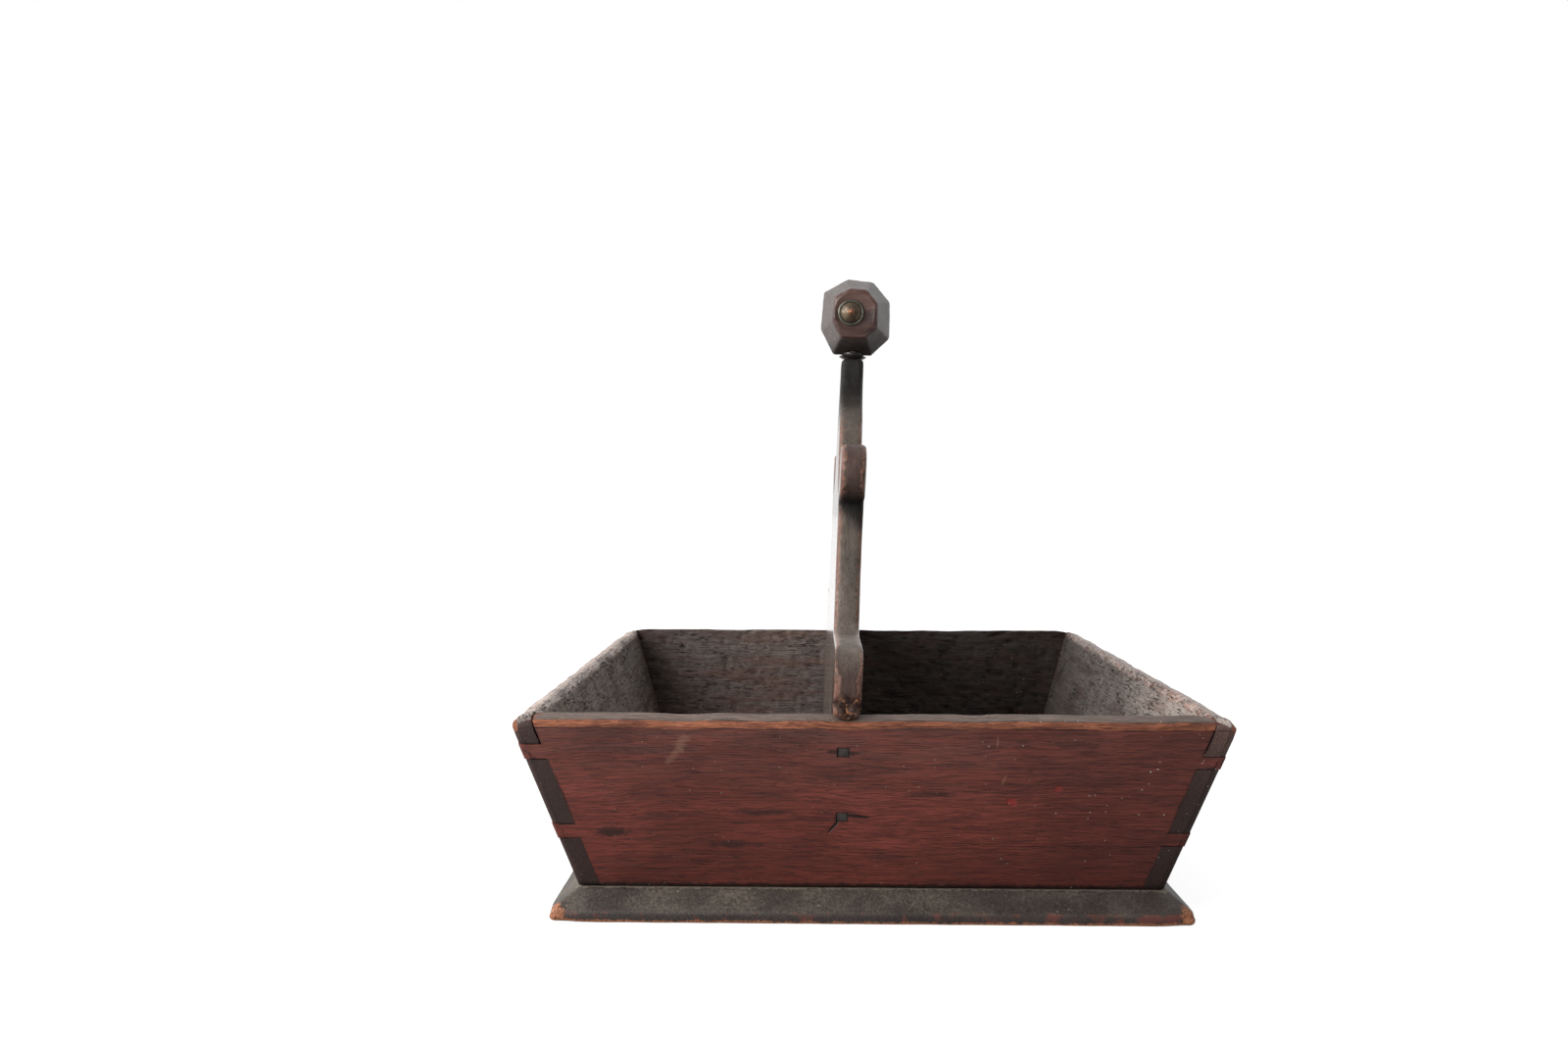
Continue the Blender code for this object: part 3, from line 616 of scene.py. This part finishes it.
def in_any(face, planes):
    return any(lies_in(face, plane) for plane in planes)


def cut_faces(work, faces, normal, offsets):
    """Cut these faces at the middle offset, and then each side at the rest."""
    if not faces or not offsets:
        return
    middle = len(offsets) // 2
    offset = offsets[middle]
    verts = dict.fromkeys(vert for face in faces for vert in face.verts)
    edges = dict.fromkeys(edge for face in faces for edge in face.edges)
    made = bmesh.ops.bisect_plane(
        work, geom=[*verts, *edges, *faces], dist=WELD,
        plane_co=normal * offset, plane_no=normal)
    left = [part for part in made["geom"] if isinstance(part, bmesh.types.BMFace)]
    above = [face.calc_center_median().dot(normal) > offset for face in left]
    cut_faces(work, [face for face, up in zip(left, above) if not up], normal, offsets[:middle])
    cut_faces(work, [face for face, up in zip(left, above) if up], normal, offsets[middle + 1:])


def cut_across(work, normal, offsets):
    """Cut the mesh along the planes at these offsets along a normal."""
    normal = Vector(normal)
    offsets = sorted(offsets)
    crossed = []
    for face in work.faces:
        reach = [vert.co.dot(normal) for vert in face.verts]
        if min(reach) < offsets[-1] and max(reach) > offsets[0]:
            crossed.append(face)
    cut_faces(work, crossed, normal, offsets)


def cut_evenly(work, axis, low, high, spacing):
    """Cut the mesh across an axis, at most so many millimetres apart."""
    steps = max(2, math.ceil((high - low) / (spacing * MM)))
    cut_across(work, axis, [low + (high - low) * i / steps for i in range(1, steps)])


def skins(work, plane, depths):
    """Cut the mesh parallel to a plane, at depths in millimetres below it."""
    cut_across(work, plane.normal, [plane.offset - depth * MM for depth in depths])


def unevenness(points, bump_size, seed, octaves=3):
    """Noise of about -1 to 1 at each point. bump_size is one number, or one for each axis."""
    scaled = points / np.array(bump_size) + seed * 17.3
    return np.array([noise.fractal(Vector(point), 1.0, 2.0, octaves) for point in scaled])


def ease(values, low, high):
    share = np.clip((values - low) / (high - low), 0, 1)
    return share * share * (3 - 2 * share)


def grow(lengths, low, high):
    """0 up to low and 1 from high on, both in millimetres."""
    return ease(lengths, low * MM, high * MM)


def fade(lengths, low, high):
    return 1 - grow(lengths, low, high)


def wear_round(points, faces, radius):
    """Round the arrises where faces meet, to a radius given for each point."""
    worn = points.copy()
    for _ in range(4):
        inroads = np.array([np.clip(radius - depth_below(worn, face), 0, None) for face in faces])
        reach = np.sqrt((inroads ** 2).sum(axis=0))
        excess = np.clip(reach - radius, 0, None)
        push = sum(inroad[:, None] * face.normal for inroad, face in zip(inroads, faces))
        length = np.maximum(np.linalg.norm(push, axis=1), 1e-9)
        worn -= push / length[:, None] * excess[:, None]
    return worn


def read_points(work):
    return np.array([vert.co for vert in work.verts], float)


def finish_mesh(work, points, masks, material, node, sharp=38, made="worn"):
    """Make the piece that stands for a node. sharp is in degrees."""
    name = f"{made}_{node}"
    for vert, point in zip(work.verts, points):
        vert.co = point
    bmesh.ops.recalc_face_normals(work, faces=work.faces)
    mesh = bpy.data.meshes.new(name)
    work.to_mesh(mesh)
    work.free()
    for label, values in masks.items():
        layer = mesh.attributes.new(label, "FLOAT", "POINT")
        layer.data.foreach_set("value", np.clip(values, 0, MOST_MASK).astype(np.float32))
    mesh.shade_smooth()
    mesh.set_sharp_from_angle(angle=math.radians(sharp))
    mesh.materials.append(material)
    piece = placed(name, mesh)
    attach(piece, "root")
    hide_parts(node)


class Skin:
    """A node's solid as an even mesh, whose points can be eased and felt for arrises."""

    def __init__(self, node, size):
        self.size = size
        self.work = self.even_squares(node)
        self.points = read_points(self.work)
        self.ends = np.array([[vert.index for vert in edge.verts] for edge in self.work.edges])
        both = np.concatenate([self.ends[:, 0], self.ends[:, 1]])
        self.count = np.bincount(both, minlength=len(self.points))
        self.normals = np.array([vert.normal for vert in self.work.verts])

    def even_squares(self, node):
        shell = placed("shell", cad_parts[node].data.copy())
        remesh = shell.modifiers.new("even squares", "REMESH")
        remesh.mode = "VOXEL"
        remesh.voxel_size = self.size
        made = bpy.data.meshes.new_from_object(
            shell.evaluated_get(bpy.context.evaluated_depsgraph_get()))
        work = bmesh.new()
        work.from_mesh(made)
        bpy.data.objects.remove(shell)
        bpy.data.meshes.remove(made)
        return work

    def around(self, values):
        """The mean of each point's neighbours."""
        first, second = self.ends.T
        total = np.bincount(first, values[second], len(values))
        total += np.bincount(second, values[first], len(values))
        return total / self.count

    def around_points(self):
        return np.stack([self.around(axis) for axis in self.points.T], axis=1)

    def ease_arrises(self, steps, share):
        for _ in range(steps):
            self.points += (self.around_points() - self.points) * np.reshape(share, (-1, 1))

    def arrises(self):
        """How much each point stands out from those around it."""
        out = ((self.points - self.around_points()) * self.normals).sum(axis=1) / self.size
        for _ in range(3):
            out = (out + self.around(out)) / 2
        return out

    def push(self, distance):
        self.points += self.normals * distance[:, None]


# ---------- the boards
# Cuts, skins, radii and depths of wear are in millimetres.

RIM_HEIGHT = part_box("front_board")[1].z
FLOOR_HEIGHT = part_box("base_board")[1].z
ENDS_NAMED = ("front_board", "rear_board")
SIDES_NAMED = ("left_board", "right_board")
LOOKS = dict(zip(ENDS_NAMED + SIDES_NAMED, (-ALONG, ALONG, -ACROSS, ACROSS)))
OUTSIDE = {name: broad_face(name, way) for name, way in LOOKS.items()}
INSIDE = {name: broad_face(name, -way) for name, way in LOOKS.items()}
RIMS = {name: broad_face(name, UP) for name in LOOKS}
OUTER_FACES = [*OUTSIDE.values(), *RIMS.values()]
THICKNESS = OUTSIDE["front_board"].offset + INSIDE["front_board"].offset
CUTS_ALONG = 1.1
CUTS_UP = 1.3
RIM_BAND = 7
RIM_SKINS = (0.3, 0.7, 1.2, 1.7, 2.3, 2.9, 3.6, 4.3, 5.1, 6.0, 7.0)
ARRIS_SKINS = (0.3, 0.7, 1.2, 1.8, 2.5, 3.3, 4.2)
INNER_SKINS = (5.1, 6.0, 6.8, 7.4)
JOINT_OPEN = 0.07 * MM
JOINT_FILL = 0.09 * MM
LEAST_RADIUS = 0.6 * MM


def underside(name):
    return Face(-np.array(UP), -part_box(name)[0].z)


def joint_edges(work, name):
    """The edges where a joint comes out of the faces that show."""
    shut = [INSIDE[name], underside(name)]
    found = []
    for edge in work.edges:
        seen = [in_any(face, OUTER_FACES) for face in edge.link_faces]
        plain = [in_any(face, shut) for face in edge.link_faces]
        if len(seen) == 2 and seen[0] != seen[1] and not any(plain):
            found.append(edge)
    return found


def joint_planes(work, name):
    """The faces of a board that lie inside its joints."""
    shown = [*OUTER_FACES, INSIDE[name], underside(name)]
    return [plane_of(face) for face in work.faces if not in_any(face, shown)]


def distance_to(points, segments):
    """How far each point is from the nearest of some straight lines."""
    nearest = np.full(len(points), 1.0)
    for start, end in segments:
        along = end - start
        share = np.clip((points - start) @ along / (along @ along), 0, 1)
        apart = np.linalg.norm(points - start - share[:, None] * along, axis=1)
        nearest = np.minimum(nearest, apart)
    return nearest


def worn_radius(points):
    """How round the outer arrises are: most at the rim's corners, and cupped along it."""
    front, rear, left, right = (depth_below(points, OUTSIDE[name]) for name in LOOKS)
    corner = np.hypot(np.minimum(front, rear), np.minimum(left, right))
    drop = np.min([depth_below(points, rim) for rim in RIMS.values()], axis=0)
    at_corner = fade(np.maximum(corner, drop), 2, 22)
    cups = 1 - np.abs(unevenness(points, (0.013, 0.013, 0.05), seed=1, octaves=2)) * 2.0
    uneven = unevenness(points, 0.005, seed=6)
    rim_radius = 2.35 + 0.75 * np.clip(cups, -0.4, 1) + 0.35 * uneven + 0.7 * at_corner
    side_radius = 1.15 + 0.5 * uneven + 0.6 * at_corner
    return (side_radius + (rim_radius - side_radius) * fade(drop, 3, 9)) * MM


def open_crack(name, points, rest, drop):
    """Part the tails at the front's top corners from the board between them."""
    depth = depth_below(rest, OUTSIDE["front_board"])
    at_cheek = np.abs(depth_below(rest, INSIDE[name])) < 0.35 * MM
    here = at_cheek * fade(depth, 5, 8) * (depth < THICKNESS)
    fall = drop / MM
    waver = 0.15 * unevenness(rest, 0.003, seed=9)
    if name == "left_board":
        gap = 0.55 + waver + 1.2 * np.exp(-((fall - 9.2) / 1.5) ** 2)
        gap += 0.3 * np.exp(-((fall - 1.0) / 1.6) ** 2)
        gap *= 1 - ease(fall, 10.5, 12.0)
    else:
        gap = (0.12 + 0.40 * ease(fall, 2.0, 6.0) + waver) * (1 - ease(fall, 12.5, 14.5))
    return points - (here * np.clip(gap, 0, None) * MM)[:, None] * INSIDE[name].normal


def wall(name, grain, material):
    work = solid_of(name)
    joints = joint_edges(work, name)
    cheeks = joint_planes(work, name)
    lines = [(np.array(edge.verts[0].co), np.array(edge.verts[1].co)) for edge in joints]
    bmesh.ops.bevel(work, geom=joints, offset=JOINT_OPEN, segments=1, affect="EDGES")
    low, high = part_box(name)
    outer, inner, rim = OUTSIDE[name], INSIDE[name], RIMS[name]
    is_side = name in SIDES_NAMED
    next_to = [OUTSIDE[side] for side in (ENDS_NAMED if is_side else SIDES_NAMED)]
    cut_evenly(work, grain, low.dot(grain), high.dot(grain), CUTS_ALONG)
    cut_evenly(work, UP, low.z, high.z - RIM_BAND * MM, CUTS_UP)
    skins(work, rim, RIM_SKINS)
    skins(work, outer, ARRIS_SKINS + INNER_SKINS)
    for side in next_to:
        skins(work, side, ARRIS_SKINS)
    rest = read_points(work)

    rest_drop = depth_below(rest, rim)
    to_end = np.min([depth_below(rest, side) for side in next_to], axis=0)
    worn = wear_round(rest, OUTER_FACES, np.maximum(worn_radius(rest), LEAST_RADIUS))
    lost = np.linalg.norm(worn - rest, axis=1)
    past_corner = grow(to_end - THICKNESS, 0, 8)
    soft = 1.0 + 0.5 * unevenness(rest, 0.009, seed=2)
    if is_side:
        soft += past_corner * (2.2 + 0.9 * unevenness(rest, 0.022, seed=4))
    worn = wear_round(worn, [inner, rim], np.maximum(soft, 0.4) * MM)

    dips = np.clip(0.3 + unevenness(rest, (0.028, 0.028, 0.2), seed=12, octaves=2), 0, 1)
    sunk = dips * past_corner * fade(rest_drop, 1, 7) * 0.75 * MM
    worn[:, 2] -= sunk

    from_inner = depth_below(rest, inner)
    on_inside = (from_inner < 0.05 * MM) * (to_end > THICKNESS * 0.9)
    gouge = np.abs(unevenness(rest, (0.016, 0.016, 0.0035), seed=5))
    nicks = np.clip(unevenness(rest, (0.005, 0.005, 0.0022), seed=7, octaves=4) - 0.12, 0, None)
    relief = 0.6 * gouge + 1.8 * nicks
    if is_side:
        relief = 0.30 * gouge + 0.5 * nicks * (1 + fade(rest_drop, 8, 30))
    worn -= (on_inside * relief * MM)[:, None] * inner.normal
    planed = 0.10 * np.abs(unevenness(rest, (0.03, 0.03, 0.012), seed=8))
    on_outside = depth_below(rest, outer) < 0.05 * MM
    worn -= (on_outside * planed * MM)[:, None] * outer.normal
    if is_side:
        worn = open_crack(name, worn, rest, rest_drop)
    else:
        for cheek in cheeks:
            tight = np.abs(depth_below(rest, cheek)) < IN_PLANE
            worn += (tight * JOINT_FILL)[:, None] * cheek.normal

    across, along, rise = worn.T
    from_outer = depth_below(worn, outer)
    drop = depth_below(worn, rim) - sunk
    flat_rim = fade(drop, 0.15, 0.6) * grow(from_outer, 1.0, 2.6)
    inside = fade(from_inner, 0.3, 0.9) * grow(from_outer, 2, 4)
    inside *= to_end > THICKNESS * 0.98
    rag = unevenness(worn, (0.02, 0.02, 0.004), seed=3)
    bare = fade(drop, 1.2, 3.0 + 0.9 * rag) * (1 - flat_rim) * (1 - inside)
    # The band along the side rims, worn by hands and painted pale as sheen.
    rubbed_and_sheen = 0 * rise
    if is_side:
        rubbed_and_sheen = past_corner * fade(rest_drop, 1.5, 5.6 + 2.4 * rag)
        corner = 1 - past_corner
        bare = np.maximum(0.42 * bare * past_corner,
                          corner * grow(lost, 0.07, 0.34) * fade(from_outer, 1.8, 3.0))
        inside = np.maximum(inside, corner * (1 - bare) * fade(rest_drop, 0.6, 2.2))
        flat_rim = flat_rim * (1 - rubbed_and_sheen) * past_corner
    to_right = grow(across, -20, 115)
    to_top = ease(rise / RIM_HEIGHT, 0.45, 1)
    to_foot = 1 - ease(rise, FLOOR_HEIGHT, RIM_HEIGHT * 0.6)
    to_front = fade(along, -110, 70)
    in_corner = grow(along, 60, 156)
    at_top = np.exp(-(rest_drop / (17 * MM)) ** 2)
    at_tails = 1 - ease(to_end / THICKNESS, 0.98, 1.02)
    # Painted light and shade on the inside and the tails' end grain: lighter towards the front and
    # near the right tails' tops, darker in the rear corners and behind the divider on the rear
    # wall's right, and the right wall lighter than the left.
    painted_light, tail_painted_light = {
        "front_board": (0.5, 0.5),
        "rear_board": (
            0.36 + 0.24 * grow(across, -118, -85) - 0.30 * grow(across, -10, 20), 0.5),
        "left_board": (0.46 + 0.30 * to_front - 0.20 * in_corner, 0.42 + 0.10 * at_top),
        "right_board": (0.61 + 0.24 * to_front - 0.34 * in_corner, 0.46 + 0.90 * at_top)}[name]
    # Painted shade: the outside darker towards the right and towards the foot, not on the tails'
    # tops or inside.
    painted_shade = (0.26 * to_right + 0.28 * to_foot) * (1 - inside) * (1 - at_tails * at_top)
    masks = {
        "inside": inside, "rim": flat_rim, "bare": bare, "rubbed_and_sheen": rubbed_and_sheen, "painted_shade": painted_shade,
        # Soiling and painted shade in the crease at the wall's foot.
        "grime_and_shade": 0.7 * fade(rise - FLOOR_HEIGHT, 0.4, 4),
        "seam": fade(distance_to(rest, lines), 0.12, 0.8),
        # Painted sheen at the top, less towards the right.
        "painted_sheen": (0.64 - 0.34 * to_right) * to_top, "painted_light": painted_light + (tail_painted_light - painted_light) * at_tails,
        "pinkish": 0.45 + 0.55 * to_right, "tail_end": is_side * fade(to_end, 1.0, 2.2),
        "specks": 0.25 + 0.75 * to_right}
    finish_mesh(work, worn, masks, material, name)


# ---------- base, divider, finial

BASE_CUTS = 2.5
BASE_CUTS_UP = 0.9
BASE_SKINS = (0.4, 0.9, 1.5, 2.2, 3.0, 4.0, 5.2)


def outward_planes(work):
    """The planes the whole solid lies behind, each once."""
    solid = read_points(work)
    found = []
    for face in work.faces:
        plane = plane_of(face)
        if not in_any(face, found) and depth_below(solid, plane).min() > -0.01 * MM:
            found.append(plane)
    return found


def base(material):
    work = solid_of("base_board")
    planes = outward_planes(work)
    upright = [plane for plane in planes if abs(plane.normal[2]) < 0.1]
    low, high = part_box("base_board")
    cut_evenly(work, ACROSS, low.x, high.x, BASE_CUTS)
    cut_evenly(work, ALONG, low.y, high.y, BASE_CUTS)
    cut_evenly(work, UP, low.z, high.z, BASE_CUTS_UP)
    for plane in upright:
        skins(work, plane, BASE_SKINS)
    rest = read_points(work)
    across, along, rise = rest.T
    uneven = unevenness(rest, 0.008, seed=11)
    corner = np.hypot(high.x - np.abs(across), high.y - np.abs(along))
    worn = wear_round(rest, upright, (3.8 + 1.0 * uneven) * MM)
    blunt = fade(corner, 4, 14) * fade(rise, 2.5, 5.5)
    worn = wear_round(worn, planes, np.maximum(0.6 + 0.3 * uneven + 1.9 * blunt, 0.3) * MM)
    at_corner = fade(corner, 2, 9)
    on_edge = fade(np.min([depth_below(rest, plane) for plane in upright], axis=0), 0.3, 1.2)
    chamfer_foot = max(z for z in rise if z < FLOOR_HEIGHT * 0.7)
    arris = on_edge * fade(np.abs(rise - chamfer_foot), 0.2, 0.9)
    wall_foot = np.max([-depth_below(rest, plane) for plane in OUTSIDE.values()], axis=0)
    bare_band = 0.72 + 0.20 * fade(corner, 10, 40) + 0.08 * grow(across, 20, 90)
    masks = {
        "bare": np.maximum(at_corner, on_edge * fade(rise, 0.5, 1.5) * bare_band),
        "arris": arris * 0.8, "dust": grow(rise, 2.5, 5) * (1 - at_corner),
        "red": on_edge * (1 - arris) * (0.27 + 0.22 * grow(across, 20, 80)),
        "right": grow(across, -40, 60) * (1 - 0.8 * on_edge),
        "foot": fade(np.abs(wall_foot), 0.3, 1.3) * (rise > 2 * MM)}
    finish_mesh(work, worn, masks, material, "base_board")


DIVIDER_MESH = 0.8 * MM
NOSE_RADIUS = 13 * MM
SCROLL_SHARE = 0.742  # where the scroll's middle is between the divider's foot and top
SIDE_PROUD = 0.22 * MM
ROUND_EDGES = 60


def divider(material):
    skin = Skin("divider", DIVIDER_MESH)
    low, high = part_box("divider")
    right, left = broad_face("divider", ACROSS), broad_face("divider", -ACROSS)
    half = (right.offset + left.offset) / 2
    uneven = unevenness(skin.points, 0.010, seed=21)
    skin.ease_arrises(7, 0.5 + 0.4 * np.clip(uneven + 0.2, 0, 1))
    shelf = broad_face("divider", UP)
    for way in (-ALONG, ALONG):
        nose = [Face(np.array(way), high.y), shelf]
        near = (skin.points @ nose[0].normal > 0.12) & (skin.points[:, 2] < RIM_HEIGHT + 0.03)
        skin.points[near] = wear_round(skin.points[near], nose, NOSE_RADIUS)
    arrises = skin.arrises()
    across = half - depth_below(skin.points, right)
    side = grow(np.abs(across) - half, -0.5, -0.15)
    reach = np.abs(skin.points[:, 1])
    rise = skin.points[:, 2]
    worn = 0.22 * unevenness(skin.points, (0.006, 0.006, 0.009), seed=22) * MM
    skin.push((1 - side) * worn)
    skin.push(side * SIDE_PROUD)

    at_foot = grow(reach - high.y, -6, -2.5) * fade(rise - RIM_HEIGHT, 5.5, 8)
    at_foot[skin.points[:, 1] > 0] *= 0.3
    blocks = unevenness(skin.points, (0.0045, 0.0045, 0.0032), seed=23)
    chips = 0.5 + 1.1 * ease(blocks, -0.15, 0.25) + 0.7 * unevenness(skin.points, 0.0016, seed=24)
    skin.points[:, 1] -= np.sign(skin.points[:, 1]) * at_foot * np.clip(chips, 0, None) * MM
    fresh = at_foot * (0.45 + 0.55 * ease(blocks, -0.1, 0.25))

    # The column's top darker below the knob, partly soiling and partly painted shade from the knob.
    soot_and_shadow = grow(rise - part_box("neck_ring")[0].z, -36, -14)
    above_scroll = rise - low.z - (high.z - low.z) * SCROLL_SHARE
    # A painted shadow cast below each scroll, its lower edge slanting down to the right as if lit
    # from the upper left.
    painted_scroll_shadow = grow(above_scroll + 0.9 * across, -22, -15) * fade(above_scroll, -11, -6)
    painted_scroll_shadow *= grow(reach, 85, 95)
    brown = grow(above_scroll, -18, -6) * grow(reach, 80, 95)
    lower = fade(rise - RIM_HEIGHT, 12, 24) * grow(reach, 120, 140)
    masks = {
        "bare": 0.62 * ease(arrises, 0.012, 0.055) * (1 - 0.8 * soot_and_shadow), "side": side,
        "soot_and_shadow": np.maximum(soot_and_shadow, painted_scroll_shadow) * (0.95 + 0.05 * uneven), "torn": 0.95 * fresh,
        "brown": np.maximum(brown, lower)}
    finish_mesh(skin.work, skin.points, masks, material, "divider", ROUND_EDGES)


KNOB_MESH = 0.45 * MM
KNOB_SPREAD = 0.8 * MM  # to the right, and down over the neck, at its widest line
KNOB_DROP = 1.25 * MM
DISC_PROUD = 0.5 * MM


def knob(material):
    skin = Skin("finial_knob", KNOB_MESH)
    low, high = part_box("finial_knob")
    skin.ease_arrises(9, 0.7)
    arrises = skin.arrises()
    skin.push(0.10 * unevenness(skin.points, 0.006, seed=31) * MM)
    first, last = skin.points.min(axis=0), skin.points.max(axis=0)
    share = (skin.points - first) / (last - first)
    points = np.array(low) + share * (high - low)
    widest = 1 - np.abs(share[:, 1] - 0.5) * 2
    points[:, 0] += share[:, 0] * widest * KNOB_SPREAD
    points[:, 2] -= (1 - share[:, 2]) * widest * KNOB_DROP
    across, along, rise = (points - np.array(low + high) / 2).T
    apart = np.hypot(across, rise)
    dish = fade((high.y - low.y) / 2 - np.abs(along), 0.8, 2.2) * fade(apart, 11.5, 13)
    disc = dish * grow(apart, 4.5, 9.0) * fade(apart, 9.2, 10.2)
    points[:, 1] += np.sign(points[:, 1]) * disc * DISC_PROUD
    # The knob's bottom painted dark as shade.
    masks = {"bare": ease(arrises, 0.02, 0.12), "dish": dish,
             "pitted": grow(across - rise, 2, 16), "grime_and_shade": 0.75 * fade(points[:, 2] - low.z, 1, 7)}
    finish_mesh(skin.work, points, masks, material, "finial_knob", ROUND_EDGES)


STUD_TURNS = 72
STUD_EDGES = 70
STUD_PROFILE = (  # outwards from its seat in millimetres, share of its radius
    (-6.8, 0.0), (-3.4, 0.24), (0.0, 0.24), (0.0, 0.96), (0.3, 1.0), (0.55, 0.98), (0.78, 0.92),
    (0.78, 0.86), (0.62, 0.82), (0.62, 0.79), (0.95, 0.76), (1.45, 0.69), (1.95, 0.59),
    (2.4, 0.47), (2.8, 0.35), (3.2, 0.26), (3.7, 0.18), (4.15, 0.12), (4.48, 0.06), (4.6, 0.0))


def stud(name, toward, material):
    """A turned brass stud: a shank, a flat flange, a groove, and a dome drawn up to a point."""
    low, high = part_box(name)
    middle = (low + high) / 2
    radius = (high.x - low.x) / 2
    tip = high.y if toward > 0 else low.y
    seat = tip - toward * STUD_PROFILE[-1][0] * MM
    work = bmesh.new()
    rings = []
    for out, share in STUD_PROFILE[1:-1]:
        angles = [step / STUD_TURNS * math.tau for step in range(STUD_TURNS)]
        rings.append([work.verts.new((
            middle.x + radius * share * math.cos(angle), seat + toward * out * MM,
            middle.z + radius * share * math.sin(angle))) for angle in angles])
    point = work.verts.new((middle.x, tip, middle.z))
    shank = work.verts.new((middle.x, seat + toward * STUD_PROFILE[0][0] * MM, middle.z))
    for step in range(STUD_TURNS):
        after = (step + 1) % STUD_TURNS
        work.faces.new((shank, rings[0][after], rings[0][step]))
        for inner, outer in zip(rings, rings[1:]):
            work.faces.new((inner[step], inner[after], outer[after], outer[step]))
        work.faces.new((rings[-1][step], rings[-1][after], point))
    points = read_points(work)
    apart = np.hypot(points[:, 0] - middle.x, points[:, 2] - middle.z) / radius
    masks = {"flange": ease(apart, 0.76, 0.84), "groove": np.exp(-((apart - 0.80) / 0.03) ** 2),
             "tip": 1 - ease(apart, 0.14, 0.34)}
    finish_mesh(work, points, masks, material, name, STUD_EDGES, "turned")


RING_CUTS = 0.7


def neck_ring(material):
    work = solid_of("neck_ring")
    low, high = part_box("neck_ring")
    for axis in (ACROSS, ALONG, UP):
        cut_evenly(work, axis, low.dot(axis), high.dot(axis), RING_CUTS)
    points = read_points(work)
    # The whole neck ring painted dark as the knob's shadow.
    masks = {"grime_and_shade": np.full(len(points), 0.85)}
    finish_mesh(work, points, masks, material, "neck_ring")


# ---------- stage


def make_camera():
    data = bpy.data.cameras.new("camera")
    data.lens = CAMERA_LENS
    data.sensor_width = SENSOR_WIDTH
    data.clip_start = 0.01
    camera = placed("camera", data)
    level = Euler((math.pi / 2 - CAMERA_DIP, 0, CAMERA_TURN)).to_matrix()
    turned = level @ Matrix.Rotation(CAMERA_ROLL, 3, "Z")
    camera.matrix_world = Matrix.Translation(CAMERA_PLACE) @ turned.to_4x4()
    bpy.context.scene.camera = camera


def make_key_light():
    data = bpy.data.lights.new("key", "AREA")
    data.shape = "RECTANGLE"
    data.size, data.size_y = KEY_SIZE
    data.energy = KEY_POWER
    light = placed("key", data)
    light.location = KEY_PLACE
    light.rotation_euler = (
        Vector(KEY_AIM) - Vector(KEY_PLACE)).to_track_quat("-Z", "Y").to_euler()


def make_floor():
    """A pale floor, whose back half mirrors in glossy surfaces as the backdrop would."""
    work = bmesh.new()
    bmesh.ops.create_grid(work, x_segments=1, y_segments=1, size=FLOOR_REACH)
    mesh = bpy.data.meshes.new("floor")
    work.to_mesh(mesh)
    work.free()
    floor = placed("floor", mesh)
    floor.location.z = -FLOOR_GAP
    graph = Finish("pale_floor")
    rays = graph.node("ShaderNodeLightPath").outputs
    way = graph.node("ShaderNodeSeparateXYZ", {0: graph.place()}).outputs["Y"]
    mirrored = graph.times(rays["Is Glossy Ray"], graph.times(graph.spread(way, 0.2, 0.9), 0.95))
    glow = graph.plus(graph.times(rays["Is Camera Ray"], 0.82), mirrored)
    graph.shade(Base_Color=FLOOR_GREY, Roughness=0.9, Emission_Color=WHITE,
                Emission_Strength=glow)
    mesh.materials.append(graph.material)


def make_world():
    """Light from behind the tray more than from the front, and a white backdrop."""
    world = bpy.data.worlds.new("studio")
    bpy.context.scene.world = world
    world.use_nodes = True
    graph = Graph(world.node_tree)
    background = world.node_tree.nodes["Background"].inputs
    rays = graph.node("ShaderNodeLightPath").outputs
    seen = graph.most(rays["Is Camera Ray"], rays["Is Transmission Ray"])
    way = graph.node("ShaderNodeSeparateXYZ", {0: graph.place()}).outputs["Y"]
    lit = graph.spread(way, -0.35, 0.45, 0.20, 1.0)
    graph.feed(background["Color"], WHITE)
    graph.feed(background["Strength"], graph.between(seen, lit, 1.0))


bpy.context.scene.view_settings.view_transform = "Standard"
make_camera()
make_floor()
make_world()
make_key_light()

end_wood = wall_wood("end_board_wood", ACROSS, END_INSIDE, END_PITS, FRONT_MARKS)
side_wood = wall_wood("side_board_wood", ALONG, SIDE_INSIDE_AND_SHEEN, SIDE_PITS)
for name in ENDS_NAMED:
    wall(name, ACROSS, end_wood)
for name in SIDES_NAMED:
    wall(name, ALONG, side_wood)
base(base_wood())
divider(divider_wood("divider_wood"))
knob_wood = turned_wood()
knob(knob_wood)
neck_ring(knob_wood)
brass = stud_metal()
stud("front_stud", -1, brass)
stud("rear_stud", 1, brass)
iron = aged_iron()
dowel_wood = divider_wood("dowel_wood")
for name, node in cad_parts.items():
    if "nail" in name or name == "finial_dowel":
        node.data.materials.clear()
        node.data.materials.append(iron if "nail" in name else dowel_wood)
